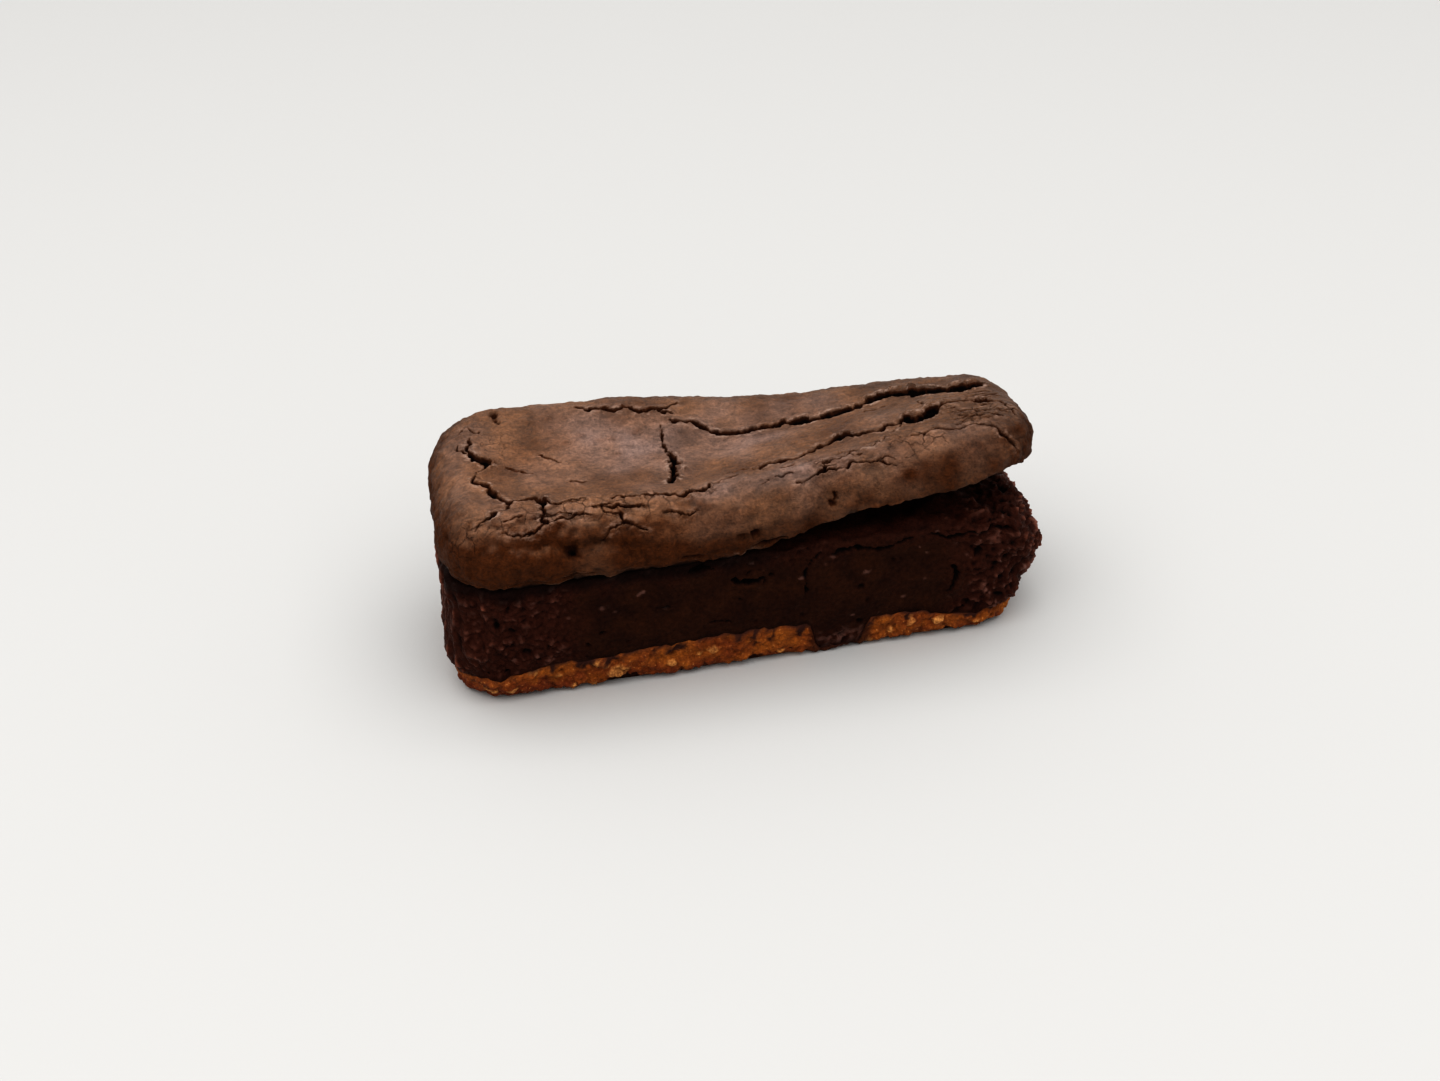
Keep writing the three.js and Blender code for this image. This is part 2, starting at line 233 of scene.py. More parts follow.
def crumb_top(x, y):
    """Top of the crumb: torn, and lower along its edges and at the open end."""
    torn = 0.35 + 0.75 * smooth(x, 5, 40)
    return SLAB.height - broken_edge(x, y) - 2 * smooth(x, 42, 55) + torn * lumps(x, y, 0, 6, 9)


def forward(y):
    """0 at the back edge of the cap and 1 at its front edge."""
    return np.clip((CAP.half_width - y) / (2 * CAP.half_width), 0, 1)


def cap_lift(x, y):
    """How far the cap stands off the crumb: nothing at the left, most at the right front."""
    along = np.clip((x - CAP.hinge) / (CAP.half_length - CAP.hinge), 0, 1.1)
    return CAP.lift * along ** CAP.lift_power * forward(y)


def cap_under(x, y):
    """Underside of the cap: torn like the crumb's top, and higher still along the lifted front."""
    thinner = (CAP.lip_rise * forward(y) + broken_edge(x, y)) * smooth(x, -12, 14)
    return crumb_top(x, y) + GAP + cap_lift(x, y) + thinner


# %% Outline of the slab at a height, for the crumb and the base
def slab_plan(u, v, z):
    up = np.clip(z / SLAB.height, 0, 1)
    foot = 0.8 * SLAB.foot * (1 - round_off(np.maximum(z, 0), SLAB.foot))
    inset = SLAB.draft * (1 - up) + foot
    x, y = rounded_plan(u, v, SLAB.half_length - inset, SLAB.half_width - inset,
                        SLAB.corner - 0.6 * inset)
    right, left = np.clip((x - 20) / 30, 0, 1), np.clip(-x / 30, 0, 1)
    x = x - left * SLAB.left_bulge * bump(z, 9, 9)
    x = x + right * (SLAB.end_bulge * bump(z, 13, 8) - SLAB.end_slope * smooth(z, 15, 25))
    torn = blend(TORN.side, TORN.end, smooth(np.abs(x), 30, 46)) * smooth(z, 0.5, 4)
    torn = torn * (1 - 0.5 * smooth(-x, 40, 50))
    x = x + torn * lumps(x, y, z, TORN.cell, 1)
    y = y + torn * lumps(x, y, z, TORN.cell, 2)
    recess = SLAB.recess * (1 + 0.6 * smooth(-x, 12, 42) - 0.3 * smooth(x, 20, 40))
    y = y + recess * smooth(-y, 8, 18) * (1 - smooth(z, 0, 14))
    return lean(x, y), y


# %% Where each vertex of a unit box goes: outline and height depend on each other, so by turns
TURNS, FIRST_LEVEL = 3, 7
FLAT = 0.999    # how far from the middle a unit height is on the box's top or bottom


def crumb_point(u, v, w):
    t = (w + 1) / 2
    z = blend(FIRST_LEVEL, SLAB.height, t)
    for _ in range(TURNS):
        x, y = slab_plan(u, v, z)
        z = blend(base_top(x, y) + SEAM, crumb_top(x, y), t)
    return np.stack([x, y, z], -1) - MIDDLE


def base_point(u, v, w):
    t = (w + 1) / 2
    z = FIRST_LEVEL * t
    for _ in range(TURNS):
        x, y = slab_plan(u, v, z)
        z = base_top(x, y) * t
    return np.stack([x, y, z], -1) - MIDDLE


def place_on_bar(x, y):
    """The cap narrows towards the right, all at the back, and leans with the rest of the bar."""
    along = (x + CAP.half_length) / (2 * CAP.half_length)
    narrow = 1 - CAP.narrowing / (2 * CAP.half_width) * along
    py = (y + CAP.shift_y + CAP.half_width) * narrow - CAP.half_width
    px = x + (0.8 + 0.08 * py) * smooth(x, 15, 50)
    return lean(px, py) + CAP.shift_x, py


def crown_relief(x, y, inside):
    skin = 0.35 * lumps(x, y, 0, 9, 6) + 0.25 * lumps(x, y, 0, 4.5, 7)
    return (skin - soft_patches(SAGS, x, y)) * smooth(inside, 0.5 * CAP.shoulder, 1.6 * CAP.shoulder)


def cap_point(u, v, w):
    above = w > 0
    turn = np.where(above, w * CAP.shoulder_turn, w * CAP.lip_turn)
    reach = np.where(above, CAP.shoulder, CAP.lip)
    tall = np.where(above, CAP.crown, CAP.lip_drop)
    inset = reach * (1 - np.cos(turn))
    px, py = rounded_plan(u, v, CAP.half_length - inset, CAP.half_width - inset,
                          CAP.corner - inset)
    inside = depth_inside(px, py, CAP.half_length, CAP.half_width, CAP.corner)
    z = np.where(np.abs(w) > FLAT, np.sign(w) * tall * round_off(inside, reach), tall * np.sin(turn))
    z = z + np.where(w > FLAT, crown_relief(px, py, inside), 0)
    x, y = place_on_bar(px, py)
    lift = cap_lift(px, y)
    back = np.clip((y + CAP.half_width) / (2 * CAP.half_width), 0, 1)
    z = z + SLAB.height + GAP + CAP.lip_drop + lift
    z = z + CAP.back_rise * back * (1 - lift / CAP.lift)
    z = z - CAP.back_roll * smooth(px, -20, 24) * smooth(y, 3, 20)
    z = z - CAP.corner_roll * smooth(px, 30, 50) * smooth(y, -4, 10)
    z = np.where(w < 0, z - CAP.rim_drop, z)
    x = x + 0.5 * lumps(x, y, z, 11, 12)
    y = y + 0.5 * lumps(x, y, z, 11, 13)
    z = np.where(w < 0.5, np.maximum(z, cap_under(x, y)), z)
    return np.stack([x, y, z], -1) - MIDDLE


# %% [markdown]
# ## From a cube to a fine skin
#
# One cube is cut along each axis with subdivide_edges, which keeps clean quads. Only the places that
# need it are cut again: the sides, the torn ends and the strips beside the cracks. The grid stays a
# unit box until the last moment, so a new vertex lands exactly on the form, and not on a chord of it.

# %% Helpers that make and refine the box
def grid_box(cuts):
    bm = bmesh.new()
    bmesh.ops.create_cube(bm, size=2)
    for axis, count in enumerate(cuts):
        along = [e for e in bm.edges if abs(e.verts[0].co[axis] - e.verts[1].co[axis]) > 1e-4]
        bmesh.ops.subdivide_edges(bm, edges=along, cuts=count - 1, use_grid_fill=True)
    return bm


def unit_places(bm):
    places = np.array([v.co[:] for v in bm.verts])
    return places[:, 0], places[:, 1], places[:, 2]


def refine(bm, form, wanted):
    """Cuts the faces again whose vertices `wanted` picks, from their unit and their real places."""
    u, v, w = unit_places(bm)
    chosen = wanted(form(u, v, w), w)
    bm.verts.index_update()
    faces = [f for f in bm.faces if all(chosen[corner.index] for corner in f.verts)]
    edges = list({e for f in faces for e in f.edges})
    bmesh.ops.subdivide_edges(bm, edges=edges, cuts=1, use_grid_fill=True)


def carry(bm, form):
    """Moves the unit box's vertices to their real places and returns its unit heights."""
    u, v, w = unit_places(bm)
    for vert, place in zip(bm.verts, form(u, v, w) * MM):
        vert.co = place
    return w


def to_object(name, bm):
    mesh = bpy.data.meshes.new(name)
    bm.to_mesh(mesh)
    bm.free()
    for polygon in mesh.polygons:
        polygon.use_smooth = True
    piece = bpy.data.objects.new(name, mesh)
    bpy.context.collection.objects.link(piece)
    return piece


def read_mesh(piece):
    """Places in millimetres and normals of a piece's vertices, and lumps with their places put in."""
    count = len(piece.data.vertices)
    places, normals = np.empty(3 * count), np.empty(3 * count)
    piece.data.vertices.foreach_get("co", places)
    piece.data.vertex_normals.foreach_get("vector", normals)
    places = places.reshape(-1, 3) / MM
    return places, normals.reshape(-1, 3), partial(lumps, *places.T)


def write_mesh(piece, places):
    piece.data.vertices.foreach_set("co", (places * MM).ravel())
    piece.data.update()


def paint(piece, **fields):
    """Keeps a number of each kind at every vertex, for the material to read."""
    for name, values in fields.items():
        layer = piece.data.attributes.new(name, "FLOAT", "POINT")
        layer.data.foreach_set("value", values.astype(np.float32))


def report(piece):
    piece.data.calc_loop_triangles()
    print(piece.name, len(piece.data.loop_triangles), "triangles")


# %% [markdown]
# ## Cracks
#
# The crust of a brownie is a thin sugar skin. It sets first, and the crumb below keeps rising, so it
# breaks into ragged cracks with dark walls and slightly curled lips. Each crack is a short run of
# places on the crown, joined by straight runs that are then made ragged. Its points are dropped onto
# the cap with a ray, so that distances are measured in space and a crack stays as wide where the
# surface turns down.

# %% Places of the cracks: (x, y, width) along each, as seen from above
CRACKS = [
    # the zigzag round the left end and its branches
    [(-44.1, 9.7, .35), (-45.3, 5.5, .8), (-44.4, 3.4, 1.0), (-42.4, 1.9, 1.3), (-43.0, 0.5, .4),
     (-44.6, -1.4, .35), (-45.8, -4.7, .8), (-44.1, -5.6, .8), (-43.2, -6.4, 1.1), (-43.4, -8.2, 1.0),
     (-41.3, -12.2, 1.0)],
    [(-41.4, -12.1, .7), (-39.6, -12.5, .4), (-37.9, -11.4, .4), (-36.6, -11.4, .6), (-35.6, -13.7, 1.3),
     (-34.4, -14.9, .5), (-32.6, -14.7, .3), (-31.0, -14.4, .45), (-29.4, -14.7, .25)],
    [(-41.9, 11.9, .25), (-43.0, 11.3, .4), (-43.9, 11.9, .45), (-44.4, 13.3, .3), (-46.2, 11.1, .25)],
    [(-46.8, 7.8, .25), (-46.5, 6.2, .5), (-45.3, 5.4, .6)],
    [(-41.1, -12.6, .8), (-41.9, -14.1, .6), (-43.7, -14.8, .9), (-44.8, -16.0, .7), (-47.5, -16.9, .25)],
    [(-35.8, -13.9, 1.0), (-36.3, -16.6, .5), (-36.8, -17.8, .5), (-36.1, -18.9, .9), (-37.4, -19.8, .9),
     (-38.6, -20.1, .9), (-39.9, -20.2, .5), (-41.6, -19.8, .3), (-43.6, -18.9, .2)],
    [(-36.1, -19.0, .25), (-33.0, -18.8, .3), (-31.4, -18.3, .45), (-29.0, -18.3, .2)],
    # hairlines in the left basin
    [(-39.7, 0.2, .3), (-38.7, -0.4, .35), (-37.7, -0.9, .25)],
    [(-37.0, -1.4, .25), (-35.6, -2.1, .3)],
    [(-29.9, -6.2, .3), (-28.8, -6.7, .5), (-27.6, -6.9, .25)],
    [(-33.4, 3.9, .2), (-33.0, 3.0, .25), (-31.5, 1.9, .25), (-30.0, 0.5, .2)],
    # the far edge
    [(-24.4, 14.9, .3), (-22.7, 14.0, .55), (-20.4, 14.2, .35), (-18.0, 13.3, .55), (-15.6, 13.6, .4),
     (-14.2, 11.9, .4), (-12.5, 12.2, .55), (-9.4, 12.4, .4), (-7.0, 13.5, .25)],
    [(-10.9, 12.0, .3), (-9.8, 11.2, .8), (-8.5, 11.0, .4)],
    # the long tear along the crown, widest at the right
    [(-9.4, 9.7, .35), (-8.1, 9.0, .55), (-5.8, 8.3, .6), (-3.9, 6.8, .85), (-2.7, 5.3, .8),
     (-0.9, 4.4, .9), (2.0, 3.6, .7), (7.8, 4.2, .8), (10.2, 4.6, 1.1), (14.6, 3.7, 1.3), (19.0, 3.4, 1.5),
     (22.0, 3.6, 1.2), (24.6, 4.7, 1.0), (27.5, 5.4, 2.0), (30.9, 5.0, 3.2), (34.9, 3.6, 4.2),
     (38.9, 1.0, 4.8), (41.6, -0.4, 4.2), (43.6, -1.2, 1.6)],
    # the cross tear
    [(-11.2, 8.7, .25), (-11.6, 4.9, .4), (-11.8, 3.0, .6), (-11.3, 0.8, 1.0), (-11.4, -1.8, 1.6),
     (-11.6, -5.0, 2.1), (-12.5, -7.0, 1.7), (-12.9, -8.2, 2.6), (-13.2, -9.6, 2.0), (-13.9, -11.2, .4)],
    # long fine cracks along the front of the crown
    [(-28.1, -16.8, .25), (-26.3, -17.4, .35), (-24.4, -17.8, .4), (-19.8, -18.3, .25)],
    [(-26.5, -17.2, .35), (-26.7, -18.3, .35), (-24.1, -19.4, .2)],
    [(-24.5, -15.3, .2), (-19.3, -16.1, .3), (-15.0, -17.2, .35), (-13.0, -17.9, .6), (-11.8, -16.7, .5),
     (-9.2, -16.8, .5), (-8.1, -15.1, .4), (-3.2, -14.8, .2)],
    [(-5.4, -12.1, .2), (-1.0, -11.9, .5), (0.6, -13.5, .6), (2.2, -12.2, .6), (5.9, -12.8, .7),
     (8.2, -12.3, .6), (10.5, -10.7, .6), (13.4, -9.0, .8), (16.4, -7.9, .9), (18.1, -7.7, .8),
     (19.4, -9.1, .6), (23.4, -9.8, .6), (24.1, -8.7, .6), (27.2, -8.6, .8)],
    [(26.6, -9.3, .6), (24.6, -12.1, .6), (22.9, -12.8, .45), (21.4, -14.5, .5), (19.7, -15.6, .55),
     (16.0, -15.5, .5), (14.4, -16.5, .4), (10.6, -16.9, .3)],
    [(26.9, -8.4, .8), (28.0, -8.9, 2.2), (29.4, -9.1, 3.0), (31.2, -8.8, 2.7), (32.7, -8.2, 1.7),
     (33.7, -7.7, .6)],
    [(33.6, -7.9, .5), (35.0, -6.9, .4), (37.9, -7.2, .4), (40.0, -7.9, .5), (41.5, -8.7, 1.0),
     (42.7, -9.7, .4), (44.2, -10.2, .5), (44.5, -13.0, .4), (45.1, -14.9, .3)],
    [(36.2, -10.2, .25), (39.0, -11.9, .3), (41.2, -13.2, .35), (43.6, -14.4, .3)],
    [(35.8, -12.8, .25), (37.6, -13.5, .3), (38.9, -15.1, .25)],
    [(23.0, 0.0, .3), (24.6, 0.3, .5), (27.0, 1.4, .3)],
    [(32.0, -2.6, .3), (31.8, -5.4, .35), (32.5, -6.8, .3), (33.8, -6.7, .25)],
    # the shoulder
    [(5.6, -19.6, .4), (7.1, -19.3, .5), (10.2, -18.5, .6), (10.8, -17.8, .5), (10.4, -16.7, .4)],
    [(10.3, -18.6, .4), (14.1, -18.9, .5), (15.2, -18.3, .6), (17.8, -19.1, .5), (19.5, -19.6, .4),
     (22.2, -20.5, .25)],
    [(18.9, -19.1, .3), (20.9, -19.1, .35), (22.2, -19.7, .2)],
    [(10.7, -16.6, .3), (11.6, -17.2, .35), (13.8, -16.8, .3)],
    [(-0.6, -18.7, .3), (0.9, -18.1, .35)],
    [(2.3, -17.5, .3), (5.0, -17.6, .25)],
    [(28.1, -16.4, .25), (31.0, -15.6, .35), (34.2, -17.3, .35), (36.9, -17.1, .4), (39.9, -18.4, .45),
     (41.0, -19.6, .5), (43.2, -20.1, .35)],
    # short cracks down the front wall
    [(-23.9, -19.0, .5), (-23.9, -20.1, .45), (-26.4, -20.8, .35), (-27.5, -21.6, .25)],
    [(-23.9, -20.1, .35), (-21.8, -20.7, .35), (-20.2, -21.2, .25)],
    [(-16.7, -19.8, .35), (-14.4, -20.3, .45), (-13.4, -20.5, .4), (-11.5, -20.4, .2)],
]
RAGGED, STEP = 0.24, 0.28            # sideways raggedness and spacing of a crack's points
ABOVE, IN_FRONT = 80, -60            # where the rays that find the surface start
FAR = 99.0                           # a distance to stand for none


def short_cracks(count, low, high, seed):
    """Short fine cracks at random places between two corners, each mostly along the bar."""
    made = []
    for k in range(count):
        right, back, length, turn, width = (float(chance(seed + 7 * k + j)) for j in range(5))
        x, y = blend(low[0], high[0], right), blend(low[1], high[1], back)
        dx, dy = blend(0.6, 1.6, length), blend(-0.5, 0.2, turn)
        crack = [(x, y, .2), (x + dx, y + 0.6 * dy, blend(.2, .4, width)),
                 (x + 2.1 * dx, y + 1.6 * dy, .25)]
        made.append(crack if length < 0.6 else crack + [(x + 2.9 * dx, y + 1.2 * dy, .2)])
    return made


CRACKS += short_cracks(20, (33.5, -16.5), (44.5, -3), 11) + short_cracks(9, (-2, -18.6), (30, -15), 400)
CRACKS += short_cracks(5, (-44, -18), (-24, -13.5), 700)


def lay_crack(crack, tree, seed, down=(0, 0, -1)):
    """A ragged line through a crack's places, brought to the surface by rays, and its half width.

    Rays that look down take the places as (x, y), and rays that look along +Y as (x, z).
    """
    plan = np.array(crack)
    run = np.append(0, np.cumsum(np.hypot(*np.diff(plan[:, :2], axis=0).T)))
    at = np.linspace(0, run[-1], int(run[-1] / STEP) + 2)
    x, y, width = (np.interp(at, run, plan[:, k]) for k in range(3))
    x = x + RAGGED * (lumps(at, 0, 0, 1.0, seed) + 0.6 * lumps(at, 0, 0, 0.4, seed + 3))
    y = y + RAGGED * (lumps(at, 0, 0, 1.0, seed + 1) + 0.6 * lumps(at, 0, 0, 0.4, seed + 4))
    width = np.maximum(width * (0.82 + 0.45 * lumps(at, 0, 0, 1.1, seed + 2)), 0.15)
    starts = [(px, py, ABOVE) if down[2] else (px, IN_FRONT, py) for px, py in zip(x, y)]
    hits = [tree.ray_cast(Vector(start) * MM, Vector(down))[0] for start in starts]
    kept = [i for i, hit in enumerate(hits) if hit is not None]
    return np.array([hits[i][:] for i in kept]) / MM, 0.5 * width[kept]


def near_crack(places, points, half, reach=3):
    """Distance of each place to a crack's line, and the half width and side at the nearest point."""
    nearest = np.full(len(places), FAR)
    width = np.zeros(len(places))
    side = np.zeros(len(places))
    low, high = points.min(0) - reach, points.max(0) + reach
    close = np.nonzero(((places > low) & (places < high)).all(1))[0]
    for a, b, half_a, half_b in zip(points, points[1:], half, half[1:]):
        run = b - a
        box = (np.abs(places[close] - a) < reach + 1).all(1)
        spot = close[box]
        offset = places[spot] - a
        t = np.clip(offset @ run / max(run @ run, 1e-9), 0, 1)
        away = offset - t[:, None] * run
        distance = np.linalg.norm(away, axis=1)
        closer = distance < nearest[spot]
        index = spot[closer]
        nearest[index] = distance[closer]
        width[index] = blend(half_a, half_b, t[closer])
        side[index] = np.sign(run[0] * away[closer, 1] - run[1] * away[closer, 0])
    return nearest, width, side


print(len(CRACKS), "cracks")

# %% [markdown]
# ## The risen cap
#
# The cap is the piece that the eye goes to. Its skin is smooth and satin where it sagged, leathery on
# the front shoulder, and flaky along its lower lip, where it split from the crumb. Its underside is
# torn crumb. The box is cut at one millimetre, then to half of that wherever the skin shows, and twice
# more beside the cracks, so that their edges stay sharp.

# %% The cap's box, refined
WIDE_STRIP, NARROW_STRIP = 0.8, 0.25    # on each side of a crack
cap_box = grid_box((104, 46, 12))
first = cap_box.copy()
carry(first, cap_point)
cap_tree = BVHTree.FromBMesh(first)
first.free()
cracks = [lay_crack(crack, cap_tree, 300 + 10 * i) for i, crack in enumerate(CRACKS)]


def beside_cracks(reach):
    def wanted(places, w):
        chosen = np.zeros(len(places), bool)
        for points, half in cracks:
            distance, width, _ = near_crack(places, points, half)
            chosen |= distance < width + reach
        return chosen & (w > -0.5)
    return wanted


refine(cap_box, cap_point, lambda places, w: w > -0.99)
refine(cap_box, cap_point, beside_cracks(WIDE_STRIP))
refine(cap_box, cap_point, beside_cracks(NARROW_STRIP))
cap_w = carry(cap_box, cap_point)
cap = to_object("cap_crust", cap_box)
report(cap)

# %% Relief of the cap's skin: swells, streaks, wrinkles, leather, a ledge on the left wall and pores
places, normals, field = read_mesh(cap)
x, y, z = places.T
steep = smooth(np.hypot(normals[:, 0], normals[:, 1]), 0.35, 0.9)
shoulder = np.maximum(steep, smooth(-y, 12, 18))

broad = 0.26 * field(4.5, 40) * blend(0.4, 1.2, steep)
streaks = 0.09 * lumps(x / 4, y, z, 0.9, 41) * (1 - shoulder)
wrinkles = 0.22 * (1 - 2 * np.abs(field(1.9, 54))) * bump(x, -19, 8) * bump(y, 5, 6)
crease = 1 - smooth(np.abs(field(2.4, 42)), 0, 0.22)
leather = 0.28 * field(1.7, 55) + 0.22 * field(0.8, 43) - 0.18 * crease
ledge_at = 32.6 + 0.9 * lumps(x, 0, 0, 7, 77) + 0.5 * lumps(x, 0, 0, 1.6, 78) - 0.12 * (x + 36)
ledge = 0.8 * smooth(ledge_at - z, 0, 0.4) * (1 - smooth(ledge_at - z, 0.6, 3.0)) * bump(x, -34, 12) * steep
pores = hollows(places, 5.5, 0.3, 0.25, 0.6, 44) * blend(0.3, 1.0, steep)
relief = broad + streaks + wrinkles + leather * blend(0.55, 1.0, shoulder) - pores - ledge
print("relief of the skin, mm:", round(float(relief.min()), 2), "to", round(float(relief.max()), 2))

# %% Relief of the lower lip, torn flakes below ragged slits, and of the torn underside
under = smooth(-cap_w, 0.9, 0.98)
slit_at = -0.5 + 0.16 * lumps(x, y, 0, 5, 47)
slit = smooth(lumps(x / 2.5, y, 0, 2.6, 48), 0.0, 0.35) * bump(cap_w, slit_at, 0.1)
lip = smooth(-cap_w, 0.45, 0.8) * (1 - under)
relief = relief - 1.1 * slit + lip * (0.45 * field(2.6, 49) + 0.2 * field(0.8, 50))
relief = blend(relief, 0.5 * field(2.4, 45) + 0.35 * field(1.1, 46), under)

# %% Cut the cracks: a fine one is a notch, a wide one a tear that opens as a ragged slope on one side
cut_depth = np.zeros(len(places))
flakes = np.zeros(len(places))
edge_noise = 0.13 * field(0.7, 51) + 0.10 * field(0.35, 52)
teeth = 0.45 * field(1.4, 75) + 0.3 * field(0.7, 76)
floor_noise = 1 + 0.35 * field(0.9, 53)
for points, half in cracks:
    distance, width, side = near_crack(places, points, half)
    broad_tear = smooth(width, 0.7, 1.3)
    wide = broad_tear * (side > 0)
    width = np.where(side < 0, width * (1 - 0.45 * broad_tear), width)
    distance = np.maximum(distance + edge_noise * np.minimum(1, 2.5 * width + 0.2) + teeth * wide, 0)
    inside = np.clip(distance / np.maximum(width, 0.1), 0, 1)
    depth = (0.15 + 1.7 * np.minimum(width, 1.3)) * floor_noise * (1 - 0.3 * wide)
    shelf = 0.2 * (1 - inside ** 4) * (1 + teeth) + 0.8 * (1 - np.minimum(1, 2.2 * inside)) ** 2
    cut = depth * blend(1 - inside ** 3, shelf, wide) * (distance < width)
    curl = 0.22 * np.minimum(1, 1.4 * width) * bump(distance, width + 0.3, 0.35)
    step = 0.55 * width * side * bump(distance, 0, 2.2)
    shreds = 0.5 * teeth * wide * (distance < width)
    relief = relief + step + np.where(distance < width, shreds, curl) - cut
    open_crumb = 1 - wide * (0.35 + 0.9 * teeth) * smooth(inside, 0.1, 0.4)
    # cut_depth sets the crack colour: crumb on the walls, painted black shade in the depths
    cut_depth = np.maximum(cut_depth, cut * open_crumb)
    # pale flakes beside the cracks, partly painted glints
    flakes = np.maximum(flakes, bump(distance, width + 0.35, 0.45) * np.minimum(1, 2 * width))

write_mesh(cap, places + relief[:, None] * normals)
print("deepest cut in the cap, mm:", round(float(-relief.min()), 2))

# %% [markdown]
# Bubbles broke through the front wall of the cap, and the skin carries soft differences of tone: pale
# and satin in the sags, where sugar has bloomed, with a painted sheen there, and darker and redder round
# the rim, where it touched the hot air longest, with painted shade on the walls. Painted shade also lies
# in the creases, holes and slits, along the far edge and over the right end of the crown, and painted
# light on the left basin. A net of hairlines crazes the right end. These go to the material as numbers
# at the vertices.

# %% Holes in the front wall: (x, y, z, radius) of each
HOLES = [(-32.6, -22.6, 30.7, 1.4), (-22.3, -22.9, 29.0, 0.9), (10.7, -22.1, 33.2, 0.55),
         (15.0, -22.3, 33.1, 0.4), (11.4, -21.9, 34.2, 0.45), (-4.6, -23.1, 29.5, 1.1),
         (-2.6, -23.0, 30.0, 0.8), (-38.9, 16.6, 37.1, 0.6), (-38.6, 14.9, 36.9, 0.45),
         (-48.6, -16.4, 31.5, 0.5), (30.0, -20.9, 35.0, 0.4)]
HOLE_SHAPE, HOLE_DEPTH = (0.9, 0.5, 1.3), 1.5
places, normals, field = read_mesh(cap)
x, y, z = places.T
hole = np.zeros(len(places))
ragged = 0.5 * field(0.8, 70)
for *centre, radius in HOLES:
    distance = np.linalg.norm((places - centre) * HOLE_SHAPE, axis=1) + ragged
    hole = np.maximum(hole, smooth(1 - distance / (1.25 * radius), 0, 0.8) * min(1, 0.3 + 0.6 * radius))
write_mesh(cap, places - HOLE_DEPTH * hole[:, None] * normals)
print(len(HOLES), "holes")

# %% Tones of the skin: shade is painted shade, and painted light where it is negative; bloom is dried sugar with a painted sheen; craze where hairlines run
# painted shade patches on the crown, and painted light where the strength is negative
SHADED = [(-0.5, -36, 10, -3, 9), (0.7, -8, 3, 4.5, 3)]
BLOOMED = [(0.95, -18, 10, 4, 9), (0.85, 3, 9, -1, 5), (0.45, 8, 14, 9, 5)]
CRAZED = [(0.75, 43, 9, -12, 8), (0.3, -42, 6, 8, 7)]
wall = smooth(np.hypot(normals[:, 0], normals[:, 1]), 0.25, 0.95)
shade = 0.4 * smooth(y, 9, 16) + 0.2 * smooth(x, -12, -2) + soft_patches(SHADED, x, y)
shade = shade + 0.7 * smooth(x, 14, 28) * smooth(y, -19, -12) * (1 - 0.4 * wall) + 0.25 * field(7, 74)
# bloom: pale grey dried sugar in the sags and on the shoulder, partly a painted sheen
bloom = soft_patches(BLOOMED, x, y)
bloom = bloom + 0.7 * bump(y, -17.5, 2.8) * smooth(x, -18, -6) * (1 - smooth(x, 12, 26))
bloom = bloom * (0.75 + 0.45 * field(3.5, 71)) + 0.25 * field(6, 72)
craze = soft_patches(CRAZED, x, y) + 0.5 * bump(y, -17, 3)
# painted shade in the creases of the leathery relief
worn = smooth(-leather, 0.05, 0.45) * blend(0.5, 1.0, shoulder)
# holes and slits join cut_depth too, so they get painted dark shade
cut_depth = np.maximum(cut_depth, np.maximum(hole ** 1.3, 0.8 * slit))
# pale flakes along the lower lip, partly painted glints
flakes = np.maximum(flakes, 0.8 * lip * smooth(field(0.8, 81), 0.3, 0.6) * bump(x, -6, 14))

# %% Toast and painted shade: the redder rim with painted shade on the walls, less at the back right, and painted shade low on the front wall where it turns under
away = np.maximum(smooth(x, -20, 2), 0.5 * smooth(-x, 36, 44) * smooth(z, 31, 34))
left_toast = blend(1.1, 0.9, smooth(x, -38, -27))
# painted shade low on the front wall, where the lip turns under
low_wall = blend(-0.35, -0.95, smooth(x, 10, 26))
low_toast = smooth(-cap_w, low_wall, low_wall + 0.4) * (0.5 + 0.35 * field(2.4, 86))
toast = wall * blend(left_toast, 0.35, away) + 0.1 * smooth(y, 8, 18)
toast = toast + low_toast * smooth(x, -26, -12) * smooth(-y, 2, 10) + 0.3 * field(6, 73)
# torn marks the underside, which the material paints with near-black shade
paint(cap, cut=cut_depth, crease=np.clip(worn, 0, 1), flakes=flakes, shade=np.clip(shade, -0.5, 1),
      bloom=np.clip(bloom, 0, 1), craze=np.clip(craze, 0, 1), toast=np.clip(toast, 0, 1), torn=under)

# %% [markdown]
# ## The crumb
#
# Against the tin the crumb is dense and almost smooth, with small pits and moist glints. At both ends
# the bar stuck and tore. The left end is granular, the right end is craggy, with ridges and deep pits.
# The same tearing shows along the top edge, under the cap.

# %% The crumb's box, refined towards the ends
crumb_box = grid_box((104, 40, 18))
refine(crumb_box, crumb_point, lambda p, w: (np.abs(w) < FLAT) | (p[:, 0] > 2) & (w > 0))
refine(crumb_box, crumb_point, lambda p, w: (np.abs(w) < FLAT) & ((np.abs(p[:, 0]) > 36) | (p[:, 1] < -12))
       | (p[:, 0] > 38) & (w > 0))
crumb_w = carry(crumb_box, crumb_point)
crumb = to_object("cocoa_crumb", crumb_box)
report(crumb)

# %% Where the crumb is torn: both ends, the top edge and the run over the biscuit
places, normals, field = read_mesh(crumb)
x, y, z = places.T
side = 1 - smooth(np.abs(crumb_w), 0.93, FLAT)
left = smooth(-(x + 2.5 * field(5, 20)), 27, 37)
right = smooth(x + 2.5 * field(5, 21), 29, 40)
edge = smooth(z + 1.2 * field(4, 22), 19.5, 24)
run = bump(x, 13.5, 5) * (1 - smooth(z, 3, 6)) * (y < -10)
rough = np.clip(left + right + 0.7 * edge + 0.8 * run, 0, 1)
print("torn share of the crumb's vertices:", round(float(rough.mean()), 2))

